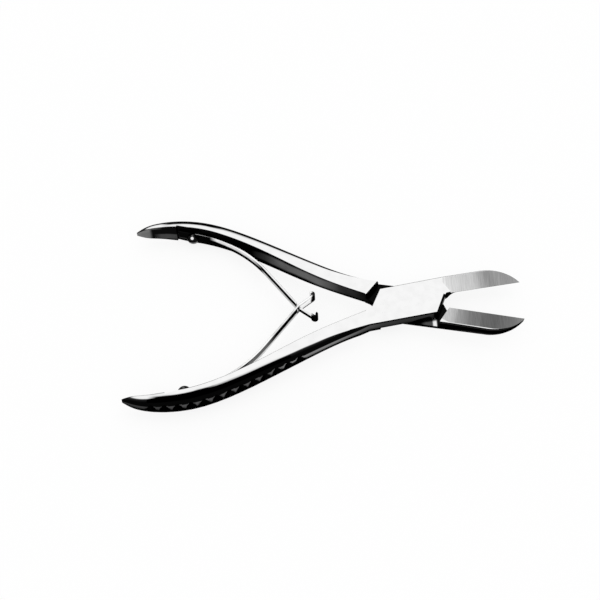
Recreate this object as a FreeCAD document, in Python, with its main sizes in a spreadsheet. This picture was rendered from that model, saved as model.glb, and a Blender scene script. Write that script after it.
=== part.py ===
import FreeCAD, Part

import math
import os

import Sketcher

# Bone cutting forceps: two steel levers crossed in a lapped screw joint, each with a
# D-shaped grooved handle and a short blade, pushed open by two leaf springs that hook
# through each other. Millimetres and degrees. The origin is on the pivot axis, in the
# bare flat face on top of the joint, +X points to the blades and +Z out of that face.
#
# Each lever is drawn closed, in its own half frame: handle at -X +Y, blade at +X -Y,
# lap plane at Z = 0 and its recess on the +Z side. The under lever is then turned open
# as it stands, and the over lever is turned over on its back and opened the other way.

SIZES = {
    # The joint
    "half_open": 10.8,            # each lever's turn from closed to the spread rest pose
    "plate_thick": 6.4,           # both lapped plates together
    "lap_clearance": 0.05,        # between the two lapped faces
    "plate_outer": 9.4,           # flat top of the joint, handle side, from the pivot
    "plate_side": 8.9,            # flat top of the joint, blade side, from the pivot
    "plate_corner": 6.9,          # rear corner of the plate, behind the pivot
    "plate_heel": 12.9,           # where the plate's rear edge meets the handle
    "heel_rise": 0.5,
    "heel_round": 3.0,
    "rear_shoulder": 16.35,       # where the rear shoulder of the recess crosses Y = 0
    "rear_shoulder_tilt": 26.0,
    "front_shoulder": 21.4,       # where the front shoulder of the recess crosses Y = 0
    "front_shoulder_tilt": 19.8,
    "joint_reach": 15.5,          # how far the handle's bar runs on past the pivot
    # The mouth between plate and cutting edge
    "mouth_root": 20.6,           # rear end of the cutting edge
    "mouth_tilt": 30.8,
    "mouth_round": 1.0,
    # The blade
    "blade_back": 9.4,            # back of the blade, from the closed cutting edge
    "belly_start": 38.5,          # where the back starts to curve in to the point
    "blade_tip": 54.3,
    "taper_start": 30.0,          # underside slopes up from here to the tip
    "taper_angle": 7.5,
    "fall_start": 22.0,           # top slopes down from here to the tip
    "fall_angle": 2.6,
    "grind_angle": 6.0,           # tilt of the ground face on top of the blade
    "grind_strip": 1.9,           # polished strip left along the back
    "grind_start": 1.3,           # polished land left in front of the shoulder
    "bevel_angle": 39.0,          # bevel under the cutting edge, from upright
    "bevel_start": 25.5,          # full bevel from here, its run-out behind
    "bevel_wheel": 5.0,           # radius of the bevel's run-out
    "edge_land": 0.12,            # thickness left at the cutting edge
    "back_round": 0.7,            # top edge of the blade's back
    "under_round": 2.5,           # bottom edge of the back, from joint to tip
    # The pivot screw
    "pivot_dia": 5.0,
    "pivot_clearance": 0.04,
    "pivot_thread_clearance": 0.02,
    "pivot_head_dia": 8.4,
    "pivot_head_depth": 1.5,
    "pivot_cover": 0.9,           # steel left over the screw's blind end
    "pivot_end_gap": 0.1,
    "pivot_slot_width": 1.1,
    "pivot_slot_depth": 0.7,
    # The leaf springs
    "seat_along": 99.4,           # spring screw, behind the pivot
    "seat_sink": 0.05,            # milled in from the handle's inner side, at the screw
    "seat_lean": 4.0,             # steeper than the handle's inner side there
    "seat_rear": 8.2,
    "seat_front": 4.4,
    "leaf_thick": 1.0,
    "leaf_width": 4.2,
    "leaf_rear": 7.2,             # leaf behind its screw
    "leaf_front": 2.6,            # straight leaf in front of its screw
    "leaf_straight": 26.2,        # straight leaf from the long bend to the crossing
    "crossing": 44.8,             # where the leaves cross, behind the pivot
    "kink_bend": 3.2,
    "tail_reach": 7.4,            # from the crossing to the curled lip
    "tail_drop": 4.3,
    "lip_bend": 0.95,
    "lip_turn": 195.0,
    "window_width": 2.5,
    "window_lead": 0.95,
    "window_land": 1.1,
    "tongue_width": 2.0,
    "tongue_lead": 1.1,
    "tongue_land": 1.0,
    # The spring screws
    "screw_dia": 2.6,
    "screw_clearance": 0.05,
    "screw_head_dia": 5.2,
    "screw_head_rim": 1.8,
    "screw_dome": 1.5,
    "screw_reach": 3.6,           # shank inside the handle
    "screw_end_gap": 0.6,
    "screw_slot_width": 0.7,
    "screw_slot_depth": 0.8,
    # The grooves across the handle's back
    "groove_start": 13.4,         # first groove, along the back from its rear end
    "groove_pitch": 5.62,
    "groove_width": 3.0,
    "groove_depth": 1.15,
    # Cutting outlines run this far past the steel
    "overrun": 10.0,
}
GROOVES = 13
BACK_ARCS = 7   # equal arcs of one circle that make the handle's round back

# Sections of the handle from the joint to its rear end: distance behind the pivot,
# height of the flat inner side, width of the flat top, bulge of the back, thickness.
HANDLE = [
    (16.0, 1.6, 7.8, 0.9, 6.4),
    (27.0, 4.3, 6.5, 2.0, 6.6),
    (44.0, 9.6, 4.7, 3.75, 7.8),
    (62.0, 16.7, 3.0, 4.6, 9.3),
    (80.0, 22.9, 2.1, 5.0, 10.1),
    (96.0, 26.0, 1.6, 5.15, 10.4),
    (108.0, 25.9, 1.4, 4.7, 9.6),
    (117.0, 24.7, 1.2, 3.7, 7.6),
    (123.0, 23.3, 0.8, 2.2, 4.8),
    (125.8, 22.75, 0.4, 0.7, 1.7),
]
HANDLE_KEYS = ("along", "inner", "flat", "bulge", "thick")
TOUCH = 0.01    # points nearer than this are one

doc = FreeCAD.newDocument("BoneCuttingForceps")
sheet = doc.addObject("Spreadsheet::Sheet", "Sizes")


def fill_sheet():
    """Write every driving size into the sheet, one row each, with its alias."""
    rows = dict(SIZES)
    for number, section in enumerate(HANDLE, 1):
        for key, value in zip(HANDLE_KEYS, section):
            rows[f"handle_{key}_{number}"] = value
    for alias, value in rows.items():
        add_row(alias, value)


def add_row(alias, value):
    """Write one size into the sheet's next free row."""
    row = len(sheet.getUsedCells()) // 2 + 1
    sheet.set(f"A{row}", alias)
    sheet.set(f"B{row}", str(value))
    sheet.setAlias(f"B{row}", alias)
    sheet.recompute()


def number(expression):
    """Value of an expression on the sheet's sizes."""
    return float(sheet.evalExpression(expression))


def new_body(name):
    body = doc.addObject("PartDesign::Body", name)
    body.Label = name
    return body


def new_sketch(body, name, role, base=("0", "0", "0"), turns=(((0, 0, 1), "0"),)):
    """Sketch on one of the body's origin planes, moved and turned in that plane's axes."""
    sketch = body.newObject("Sketcher::SketchObject", name)
    plane = next(f for f in body.Origin.OriginFeatures if f.Role == role)
    sketch.AttachmentSupport = [(plane, "")]
    sketch.MapMode = "FlatFace"
    vector = "vector({}; {}; {})"
    rotation = " * ".join(f"rotation({vector.format(*axis)}; {angle})" for axis, angle in turns)
    sketch.setExpression(
        "AttachmentOffset", f"placement({vector.format(*base)}; {rotation})")
    return sketch


def bind(sketch, constraint, name, expression):
    """Add a constraint and drive its value from the sheet."""
    index = sketch.addConstraint(constraint)
    sketch.renameConstraint(index, name)
    sketch.setExpression(f"Constraints.{name}", expression)


def pin(sketch, geometry, end, x, y):
    """Hold one end of a line or arc at a point given by two expressions."""
    for way, expression in (("X", x), ("Y", y)):
        constraint = Sketcher.Constraint(
            f"Distance{way}", -1, 1, geometry, end, number(expression))
        bind(sketch, constraint, f"pin_{geometry}_{end}_{way.lower()}", expression)


def point(corner):
    return FreeCAD.Vector(number(corner[0]), number(corner[1]), 0)


def draw_polygon(sketch, corners):
    """Closed outline through corners, each one a pair of expressions."""
    count = len(corners)
    for index in range(count):
        start, end = point(corners[index]), point(corners[(index + 1) % count])
        sketch.addGeometry(Part.LineSegment(start, end))
    for index in range(count):
        sketch.addConstraint(
            Sketcher.Constraint("Coincident", index, 2, (index + 1) % count, 1))
        pin(sketch, index, 1, *corners[index])


def draw_d_section(sketch, section):
    """Flat inner side, flat top and underside, round back as equal arcs of one circle."""
    inner, flat, bulge, thick = section
    radius = f"(({thick}) ^ 2 / 4 + ({bulge}) ^ 2) / (2 * ({bulge}))"

    def on_back(share):
        """Point of the back, from -1 at the underside over 0 at its middle to 1 at the top."""
        turn = f"({share}) * 2 * atan(2 * ({bulge}) / ({thick}))"
        return (f"{inner} + {flat} + {bulge} - {radius} * (1 - cos({turn}))",
                f"{radius} * sin({turn})")

    flats = [on_back(1), (inner, f"({thick}) / 2"), (inner, f"-({thick}) / 2"), on_back(-1)]
    for start, end in zip(flats, flats[1:]):
        sketch.addGeometry(Part.LineSegment(point(start), point(end)))
    for index, corner in enumerate(flats[:-1]):
        pin(sketch, index, 1, *corner)
    first_arc = len(flats) - 1
    for index in range(BACK_ARCS):
        start, middle, end = ((2 * index + step) / BACK_ARCS - 1 for step in (0, 1, 2))
        sketch.addGeometry(Part.Arc(*(point(on_back(share)) for share in (start, middle, end))))
        pin(sketch, first_arc + index, 1, *on_back(start))
        bind(sketch, Sketcher.Constraint("Radius", first_arc + index, number(radius)),
             f"back_radius_{index}", radius)
    count = first_arc + BACK_ARCS
    for index in range(count):
        sketch.addConstraint(
            Sketcher.Constraint("Coincident", index, 2, (index + 1) % count, 1))


def add_pad(body, name, sketch, length, symmetric=False):
    pad = body.newObject("PartDesign::Pad", name)
    pad.Profile = sketch
    pad.setExpression("Length", length)
    pad.SideType = "Symmetric" if symmetric else "One side"
    doc.recompute()
    return pad


def add_pocket(body, name, sketch, length, symmetric=False, backwards=False):
    """Cut along the sketch's own normal, into it unless backwards; it must remove something."""
    before = body.Shape.Volume
    pocket = body.newObject("PartDesign::Pocket", name)
    pocket.Profile = sketch
    pocket.setExpression("Length", length)
    pocket.SideType = "Symmetric" if symmetric else "One side"
    pocket.Reversed = backwards
    doc.recompute()
    if not body.Shape.Volume < before:
        raise RuntimeError(f"{name} cuts nothing")
    return pocket


def add_loft(body, name, sketches, ruled=False):
    loft = body.newObject("PartDesign::AdditiveLoft", name)
    loft.Profile = sketches[0]
    loft.Sections = sketches[1:]
    loft.Ruled = ruled
    doc.recompute()
    return loft


def add_fillet(body, name, radius, wanted):
    """Round the edges of the body whose middle point passes the test."""
    edges = [
        f"Edge{index}" for index, edge in enumerate(body.Shape.Edges, 1)
        if wanted(edge.valueAt((edge.FirstParameter + edge.LastParameter) / 2), edge)
    ]
    if not edges:
        raise RuntimeError(f"{name} finds no edge")
    base = body.Tip
    fillet = body.newObject("PartDesign::Fillet", name)
    fillet.Base = (base, edges)
    fillet.setExpression("Radius", radius)
    doc.recompute()
    return fillet


def on_seat(along, away):
    """Point in the half frame, along the spring seat and away from it, as expressions."""
    x = f"-Sizes.seat_along + ({along}) * cos(Sizes.seat_tilt) - ({away}) * sin(Sizes.seat_tilt)"
    y = f"Sizes.seat_height - ({along}) * sin(Sizes.seat_tilt) - ({away}) * cos(Sizes.seat_tilt)"
    return x, y


def on_tilted_line(foot, tilt, height):
    """Point at a height on a line that crosses Y = 0 at foot and leans by tilt."""
    return f"{foot} + ({height}) * tan({tilt})", f"{height}"


def add_plate_and_blade(body, down):
    """Joint plate and blade in one outline, with the belly as an arc and the back rounded."""
    sketch = new_sketch(body, "PlateOutline", "XY_Plane")
    tip = ("Sizes.blade_tip", "0")
    belly = ("Sizes.belly_start", "-Sizes.blade_back")
    reach = "(Sizes.blade_tip - Sizes.belly_start)"
    radius = f"({reach} ^ 2 + Sizes.blade_back ^ 2) / (2 * Sizes.blade_back)"
    centre = FreeCAD.Vector(number(belly[0]), number(f"-Sizes.blade_back + {radius}"), 0)
    lean = math.atan2(point(tip).y - centre.y, point(tip).x - centre.x)
    corners = [
        tip,
        ("Sizes.joint_reach", "Sizes.plate_outer"),
        ("-Sizes.handle_along_1", "Sizes.plate_outer"),
        ("-Sizes.handle_along_1", "Sizes.handle_inner_1"),
        ("-Sizes.plate_heel", "Sizes.heel_rise"),
        ("-Sizes.plate_corner", "-Sizes.plate_side"),
        belly,
    ]
    for index in range(6):
        sketch.addGeometry(Part.LineSegment(point(corners[index]), point(corners[index + 1])))
    circle = Part.Circle(centre, FreeCAD.Vector(0, 0, 1), number(radius))
    sketch.addGeometry(Part.ArcOfCircle(circle, -math.pi / 2, lean))
    for index in range(6):
        pin(sketch, index, 1, *corners[index])
        sketch.addConstraint(Sketcher.Constraint("Coincident", index, 2, index + 1, 1))
    pin(sketch, 5, 2, *belly)
    sketch.addConstraint(Sketcher.Constraint("Coincident", 6, 2, 0, 1))
    bind(sketch, Sketcher.Constraint("Radius", 6, number(radius)), "belly_radius", radius)
    add_pad(body, "PlateAndBlade", sketch, "Sizes.plate_thick", symmetric=True)
    add_fillet(body, "UnderRound", "Sizes.under_round",
               lambda middle, edge: is_along_back(middle, down))
    heel = point(corners[4])
    add_fillet(body, "HeelRound", "Sizes.heel_round", lambda middle, edge: (
        FreeCAD.Vector(middle.x, middle.y, 0).isEqual(heel, TOUCH)))


def is_along_back(middle, side):
    """True for an edge of the blade's back on one side, +1 or -1, of the lap plane."""
    return (middle.x > 0 and middle.y < -number("Sizes.plate_side / 2")
            and middle.z * side > number("Sizes.plate_thick / 4"))


def add_handle(body):
    """Straight bar over the joint, then the curved handle lofted through its sections."""
    sections = []
    for index in range(1, len(HANDLE) + 1):
        sketch = new_sketch(body, f"HandleSection{index}", "YZ_Plane",
                            base=("0", "0", f"-Sizes.handle_along_{index}"))
        draw_d_section(sketch, [f"Sizes.handle_{key}_{index}" for key in HANDLE_KEYS[1:]])
        sections.append(sketch)
    front = new_sketch(body, "BarFront", "YZ_Plane", base=("0", "0", "Sizes.joint_reach"))
    draw_d_section(front, [f"Sizes.handle_{key}_1" for key in HANDLE_KEYS[1:]])
    add_loft(body, "JointBar", [sections[0], front], ruled=True)
    add_loft(body, "Handle", sections)


def cut_mouth(body):
    """Everything in front of the plate and above the cutting edge goes."""
    far = "(Sizes.blade_tip + Sizes.overrun)"
    high = "(Sizes.plate_outer + Sizes.overrun)"
    tilt, root = "-Sizes.mouth_tilt", "Sizes.mouth_root"
    sketch = new_sketch(body, "MouthOutline", "XY_Plane")
    draw_polygon(sketch, [(root, "0"), (far, "0"), (far, high), on_tilted_line(root, tilt, high)])
    add_pocket(body, "Mouth", sketch, "2 * Sizes.plate_thick", symmetric=True)
    corner = point((root, "0"))
    add_fillet(body, "MouthCorner", "Sizes.mouth_round", lambda middle, edge: (
        FreeCAD.Vector(middle.x, middle.y, 0).isEqual(corner, TOUCH)))


def cut_slope(body, name, side, start, angle):
    """Slope one side of the blade towards the lap plane, from start on to the tip."""
    half = "Sizes.plate_thick / 2"
    far = "(Sizes.blade_tip + Sizes.overrun)"
    drop = f"(({far} - {start}) * tan({angle}))"
    sketch = new_sketch(body, f"{name}Outline", "XZ_Plane")
    draw_polygon(sketch, [
        (start, f"{side}{half}"), (far, f"{side}({half} - {drop})"), (far, f"{side}{half}")])
    add_pocket(body, name, sketch, "4 * Sizes.blade_back", symmetric=True)


def grind_face(body, up, down, upwards):
    """Flat ground face across the blade, tilted down to the cutting edge."""
    strip = "(Sizes.blade_back - Sizes.grind_strip)"
    sketch = new_sketch(
        body, "GroundFace", "XY_Plane",
        ("Sizes.fall_start", f"-{strip}", f"{up}Sizes.plate_thick / 2"),
        (((0, 1, 0), f"{up}Sizes.fall_angle"), ((1, 0, 0), f"{down}Sizes.grind_angle")))
    tilt = "Sizes.front_shoulder_tilt"
    foot = f"Sizes.front_shoulder + Sizes.grind_start - Sizes.fall_start - {strip} * tan({tilt})"
    far, low, high = "Sizes.blade_tip", "-Sizes.overrun", "(2 * Sizes.blade_back)"
    draw_polygon(sketch, [on_tilted_line(foot, tilt, low), (far, low),
                          (far, high), on_tilted_line(foot, tilt, high)])
    add_pocket(body, "Ground", sketch, "Sizes.plate_thick", backwards=upwards)


def grind_bevel(body, up, down):
    """Bevel under the cutting edge, run out behind on the radius of the grinding wheel."""
    fall = "(Sizes.bevel_start - Sizes.fall_start) * tan(Sizes.fall_angle)"
    strip = "(Sizes.blade_back - Sizes.grind_strip)"
    edge = (f"{up}(Sizes.plate_thick / 2 - {strip} * tan(Sizes.grind_angle) - {fall}"
            " - Sizes.edge_land)")
    sketch = new_sketch(
        body, "BevelOutline", "XY_Plane", ("Sizes.bevel_start", "0", edge),
        (((0, 1, 0), f"{up}Sizes.fall_angle"), ((1, 0, 0), f"{down}Sizes.bevel_angle")))
    wheel, far = "Sizes.bevel_wheel", "Sizes.blade_tip"
    deep = "(Sizes.plate_thick * sin(Sizes.bevel_angle))"
    rear = (f"-sqrt(2 * {wheel} * {deep} - {deep} ^ 2)", deep)
    corners = [("0", "0"), (far, "0"), (far, deep), rear]
    for index in range(3):
        sketch.addGeometry(Part.LineSegment(point(corners[index]), point(corners[index + 1])))
        pin(sketch, index, 1, *corners[index])
    pin(sketch, 2, 2, *rear)
    centre = FreeCAD.Vector(0, number(wheel), 0)
    lean = math.atan2(point(rear).y - centre.y, point(rear).x - centre.x)
    circle = Part.Circle(centre, FreeCAD.Vector(0, 0, 1), number(wheel))
    sketch.addGeometry(Part.ArcOfCircle(circle, lean, -math.pi / 2))
    for index in range(4):
        sketch.addConstraint(Sketcher.Constraint("Coincident", index, 2, (index + 1) % 4, 1))
    bind(sketch, Sketcher.Constraint("Radius", 3, number(wheel)), "wheel", wheel)
    add_pocket(body, "Bevel", sketch, "4 * Sizes.blade_back", symmetric=True)


def shape_blade(body, ground_up):
    """Slopes, ground face and bevel; the ground face is on top when both levers lie in place."""
    up, down, upwards = ("", "-", 1) if ground_up else ("-", "", -1)
    cut_slope(body, "Taper", down, "Sizes.taper_start", "Sizes.taper_angle")
    cut_slope(body, "Fall", up, "Sizes.fall_start", "Sizes.fall_angle")
    add_fillet(body, "BladeBack", "Sizes.back_round",
               lambda middle, edge: is_along_back(middle, upwards))
    grind_face(body, up, down, ground_up)
    grind_bevel(body, up, down)


def cut_recess(body):
    """Half the thickness goes between the two shoulders, so that the plates lap."""
    sketch = new_sketch(body, "RecessOutline", "XY_Plane", ("0", "0", "-Sizes.lap_clearance / 2"))
    rear, front = "-Sizes.rear_shoulder", "Sizes.front_shoulder"
    high, low = "(Sizes.plate_outer + Sizes.overrun)", "-(Sizes.plate_side + Sizes.overrun)"
    draw_polygon(sketch, [
        on_tilted_line(rear, "Sizes.rear_shoulder_tilt", low),
        on_tilted_line(front, "Sizes.front_shoulder_tilt", low),
        on_tilted_line(front, "Sizes.front_shoulder_tilt", high),
        on_tilted_line(rear, "Sizes.rear_shoulder_tilt", high),
    ])
    add_pocket(body, "Recess", sketch, "2 * Sizes.plate_thick", backwards=True)


def side_line(*keys):
    """Smooth line in plan through the handle's sections, at the sum of their named widths."""
    curve = Part.BSplineCurve()
    curve.interpolate([
        FreeCAD.Vector(-number(f"Sizes.handle_along_{index}"),
                       sum(number(f"Sizes.handle_{key}_{index}") for key in keys), 0)
        for index in range(len(HANDLE), 0, -1)])
    return curve


def place_seat():
    """Write the spring seat's height and tilt into the sheet, from the handle's inner side."""
    inner = side_line("inner")
    across = Part.Line(point(("-Sizes.seat_along", "0")), point(("-Sizes.seat_along", "1")))
    crossing = inner.intersectCC(across)[0]
    ahead = inner.tangent(inner.parameter(FreeCAD.Vector(crossing.X, crossing.Y, 0)))[0]
    slope = math.degrees(math.atan2(-ahead.y, ahead.x))
    add_row("seat_height", crossing.Y + number("Sizes.seat_sink"))
    add_row("seat_tilt", slope + number("Sizes.seat_lean"))


def cut_grooves(body):
    """Vee grooves square to the handle's back, evenly spaced along it.

    Each outline stands as far out of the back as it reaches in, so it is twice as wide there."""
    curve = side_line("inner", "flat", "bulge")
    depth, width = number("Sizes.groove_depth"), number("Sizes.groove_width")
    sketch = new_sketch(body, "GrooveOutlines", "XY_Plane")
    for index in range(GROOVES):
        along = number(f"Sizes.groove_start + {index} * Sizes.groove_pitch")
        place = curve.parameterAtDistance(along, curve.FirstParameter)
        middle, ahead = curve.value(place), curve.tangent(place)[0]
        outward = FreeCAD.Vector(-ahead.y, ahead.x, 0)
        corners = [middle - outward * depth,
                   middle + outward * depth - ahead * width,
                   middle + outward * depth + ahead * width]
        for start in range(3):
            sketch.addGeometry(Part.LineSegment(corners[start], corners[(start + 1) % 3]))
            sketch.addConstraint(Sketcher.Constraint("Block", 3 * index + start))
    add_pocket(body, "Grooves", sketch, "3 * Sizes.handle_thick_6", symmetric=True)


def cut_spring_seat(body):
    """Milled flat for the leaf on the handle's inner side, and the hole for its screw."""
    rear, front = "-Sizes.seat_rear", "Sizes.seat_front"
    sketch = new_sketch(body, "SeatOutline", "XY_Plane")
    draw_polygon(sketch, [on_seat(rear, "0"), on_seat(front, "0"),
                          on_seat(front, "Sizes.overrun"), on_seat(rear, "Sizes.overrun")])
    add_pocket(body, "SpringSeat", sketch, "3 * Sizes.handle_thick_6", symmetric=True)
    x, y = on_seat("0", "0")
    hole = new_sketch(body, "SeatHole", "XZ_Plane", (x, "0", f"-({y})"),
                      (((0, 1, 0), "-Sizes.seat_tilt"),))
    draw_circle(hole, "Sizes.screw_dia / 2 + Sizes.screw_clearance")
    add_pocket(body, "SpringScrewHole", hole, "Sizes.screw_reach + Sizes.screw_end_gap")


def draw_circle(sketch, radius):
    circle = Part.Circle(FreeCAD.Vector(), FreeCAD.Vector(0, 0, 1), number(radius))
    sketch.addGeometry(circle)
    sketch.addConstraint(Sketcher.Constraint("Coincident", 0, 3, -1, 1))
    bind(sketch, Sketcher.Constraint("Radius", 0, number(radius)), "radius", radius)


def cut_under_bore(body):
    """Running bore and countersink for the pivot screw, from the underside."""
    bore = new_sketch(body, "PivotBoreOutline", "XY_Plane")
    draw_circle(bore, "Sizes.pivot_dia / 2 + Sizes.pivot_clearance")
    add_pocket(body, "PivotBore", bore, "4 * Sizes.plate_thick", symmetric=True)
    sink = new_sketch(body, "CountersinkOutline", "XY_Plane", ("0", "0", "-Sizes.plate_thick / 2"))
    draw_circle(sink, "Sizes.pivot_head_dia / 2 + Sizes.pivot_clearance")
    add_pocket(body, "Countersink", sink,
               "Sizes.pivot_head_depth + Sizes.pivot_clearance", backwards=True)


def cut_over_bore(body):
    """Blind threaded hole for the pivot screw, so that the top of the joint stays bare."""
    bore = new_sketch(body, "PivotBoreOutline", "XY_Plane")
    draw_circle(bore, "Sizes.pivot_dia / 2 + Sizes.pivot_thread_clearance")
    depth = "Sizes.plate_thick / 2 - Sizes.pivot_cover"
    add_pocket(body, "PivotBore", bore, depth)


def build_lever(name, ground_up):
    body = new_body(name)
    add_plate_and_blade(body, down=-1 if ground_up else 1)
    add_handle(body)
    cut_mouth(body)
    shape_blade(body, ground_up)
    cut_recess(body)
    cut_grooves(body)
    cut_spring_seat(body)
    return body


def tangent_point(centre, radius, target, side):
    """Where a line from the circle to the target touches it; side is +1 left, -1 right turn."""
    reach = target - centre
    spread = math.acos(radius / reach.Length)
    angle = math.atan2(reach.y, reach.x) - side * spread
    return centre + FreeCAD.Vector(math.cos(angle), math.sin(angle), 0) * radius


def arc_between(centre, radius, start, end, side):
    """Arc of a circle from start to end, turning left (+1) or right (-1)."""
    angles = [math.atan2(p.y - centre.y, p.x - centre.x) for p in (start, end)]
    if side < 0:
        angles.reverse()
    circle = Part.Circle(centre, FreeCAD.Vector(0, 0, 1), radius)
    return Part.ArcOfCircle(circle, *angles)


def leaf_bend(front, cross):
    """Radius that leads from the seat's direction into the straight before the crossing."""
    dx, dy = (f"(({end}) - ({start}))" for end, start in zip(cross, front))
    return (f"({dx} ^ 2 + {dy} ^ 2 - Sizes.leaf_straight ^ 2)"
            f" / (-2 * ({dx} * sin(Sizes.seat_tilt) + {dy} * cos(Sizes.seat_tilt)))")


def draw_leaf_path(sketch, lip_side):
    """Middle line of a leaf: on the seat, round the long bend, kinked at the crossing, lip."""
    middle = "Sizes.leaf_thick / 2"
    rear, front = on_seat("-Sizes.leaf_rear", middle), on_seat("Sizes.leaf_front", middle)
    cross = ("-Sizes.crossing * cos(Sizes.half_open)", "-Sizes.crossing * sin(Sizes.half_open)")
    tail = (f"{cross[0]} + Sizes.tail_reach", f"{cross[1]} - Sizes.tail_drop")
    a, b, k, e = point(rear), point(front), point(cross), point(tail)
    radius = leaf_bend(front, cross)
    bend, kink, lip = number(radius), number("Sizes.kink_bend"), number("Sizes.lip_bend")
    run = (b - a).normalize()
    bend_centre = b + FreeCAD.Vector(run.y, -run.x, 0) * bend
    c = tangent_point(bend_centre, bend, k, -1)
    run = (k - c).normalize()
    kink_centre = k + FreeCAD.Vector(-run.y, run.x, 0) * kink
    d = tangent_point(kink_centre, kink, e, 1)
    run = (e - d).normalize()
    lip_centre = e + FreeCAD.Vector(-run.y, run.x, 0) * lip * lip_side
    turn = math.radians(number("Sizes.lip_turn")) * lip_side
    spoke = e - lip_centre
    end = lip_centre + FreeCAD.Vector(
        spoke.x * math.cos(turn) - spoke.y * math.sin(turn),
        spoke.x * math.sin(turn) + spoke.y * math.cos(turn), 0)
    sketch.addGeometry([
        Part.LineSegment(a, b), arc_between(bend_centre, bend, b, c, -1),
        Part.LineSegment(c, k), arc_between(kink_centre, kink, k, d, 1),
        Part.LineSegment(d, e), arc_between(lip_centre, lip, e, end, lip_side),
    ])
    # An arc that turns right runs backwards, so its first point is its far end.
    lip_start, lip_end = (1, 2) if lip_side > 0 else (2, 1)
    joins = [(0, 2, 1, 2), (1, 1, 2, 1), (2, 2, 3, 1), (3, 2, 4, 1), (4, 2, 5, lip_start)]
    for join in joins:
        sketch.addConstraint(Sketcher.Constraint("Tangent", *join))
    pin(sketch, 0, 1, *rear)
    pin(sketch, 0, 2, *front)
    pin(sketch, 2, 2, *cross)
    pin(sketch, 4, 2, *tail)
    for geometry, name, size in ((1, "leaf_bend", radius), (3, "kink_bend", "Sizes.kink_bend"),
                                 (5, "lip_bend", "Sizes.lip_bend")):
        bind(sketch, Sketcher.Constraint("Radius", geometry, number(size)), name, size)
    bind(sketch, Sketcher.Constraint("Angle", 5, abs(turn)), "lip_turn", "Sizes.lip_turn")


def build_leaf(name, lip_side):
    """Strip of spring steel swept along its middle line, with the hole for its screw."""
    body = new_body(name)
    path = new_sketch(body, "LeafPath", "XY_Plane")
    draw_leaf_path(path, lip_side)
    x, y = on_seat("-Sizes.leaf_rear", "Sizes.leaf_thick / 2")
    section = new_sketch(body, "LeafSection", "YZ_Plane", (y, "0", x),
                         (((0, 1, 0), "-Sizes.seat_tilt"),))
    thick, wide = "Sizes.leaf_thick / 2", "Sizes.leaf_width / 2"
    draw_polygon(section, [(f"-{thick}", f"-{wide}"), (thick, f"-{wide}"),
                           (thick, wide), (f"-{thick}", wide)])
    doc.recompute()
    strip = body.newObject("PartDesign::AdditivePipe", "Strip")
    strip.Profile = section
    strip.Spine = (path, [])
    doc.recompute()
    x, y = on_seat("0", "0")
    hole = new_sketch(body, "LeafHoleOutline", "XZ_Plane", (x, "0", f"-({y})"),
                      (((0, 1, 0), "-Sizes.seat_tilt"),))
    draw_circle(hole, "Sizes.screw_dia / 2 + Sizes.screw_clearance")
    add_pocket(body, "LeafHole", hole, "4 * Sizes.leaf_thick", symmetric=True)
    return body


def leaf_stretch(lead, land):
    """Both ends in X of the stretch from before the crossing to before the lip."""
    cross = "-Sizes.crossing * cos(Sizes.half_open)"
    return f"{cross} - {lead}", f"{cross} + Sizes.tail_reach - {land}"


def cut_window(body):
    rear, front = leaf_stretch("Sizes.window_lead", "Sizes.window_land")
    half = "Sizes.window_width / 2"
    sketch = new_sketch(body, "WindowOutline", "XZ_Plane")
    draw_polygon(sketch, [(rear, f"-{half}"), (front, f"-{half}"), (front, half), (rear, half)])
    add_pocket(body, "Window", sketch, "4 * Sizes.crossing", symmetric=True)


def cut_tongue(body):
    rear, front = leaf_stretch("Sizes.tongue_lead", "Sizes.tongue_land")
    low, high = "-Sizes.crossing", "0"
    for name, sign in (("Upper", ""), ("Lower", "-")):
        sketch = new_sketch(body, f"Tongue{name}Outline", "XY_Plane",
                            ("0", "0", f"{sign}Sizes.tongue_width / 2"))
        draw_polygon(sketch, [(rear, low), (front, low), (front, high), (rear, high)])
        add_pocket(body, f"Tongue{name}", sketch, "Sizes.leaf_width", backwards=sign == "")


def build_turned(name, outline, dome=None):
    """Body turned about Z from a closed half outline, with one arc over its dome."""
    body = new_body(name)
    sketch = new_sketch(body, "TurnedOutline", "XZ_Plane")
    if dome is None:
        draw_polygon(sketch, outline)
    else:
        draw_domed_outline(sketch, outline, dome)
    turned = body.newObject("PartDesign::Revolution", "Turned")
    turned.Profile = sketch
    turned.ReferenceAxis = (sketch, ["V_Axis"])
    turned.Angle = 360
    doc.recompute()
    return body


def draw_domed_outline(sketch, outline, dome):
    """Outline whose last corner is joined to its first by an arc of the given rise."""
    for index in range(len(outline) - 1):
        sketch.addGeometry(
            Part.LineSegment(point(outline[index]), point(outline[index + 1])))
        pin(sketch, index, 1, *outline[index])
    last = len(outline) - 2
    for index in range(last):
        sketch.addConstraint(Sketcher.Constraint("Coincident", index, 2, index + 1, 1))
    pin(sketch, last, 2, *outline[-1])
    rim = number(outline[-1][0])
    rise = number(dome)
    radius = f"(({outline[-1][0]}) ^ 2 + ({dome}) ^ 2) / (2 * ({dome}))"
    top = point(outline[0])
    centre = FreeCAD.Vector(0, top.y - number(radius), 0)
    lean = math.atan2(number(radius) - rise, rim)
    circle = Part.Circle(centre, FreeCAD.Vector(0, 0, 1), number(radius))
    sketch.addGeometry(Part.ArcOfCircle(circle, lean, math.pi / 2))
    sketch.addConstraint(Sketcher.Constraint("Coincident", last, 2, last + 1, 1))
    sketch.addConstraint(Sketcher.Constraint("Coincident", last + 1, 2, 0, 1))
    bind(sketch, Sketcher.Constraint("Radius", last + 1, number(radius)), "dome", radius)


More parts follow.
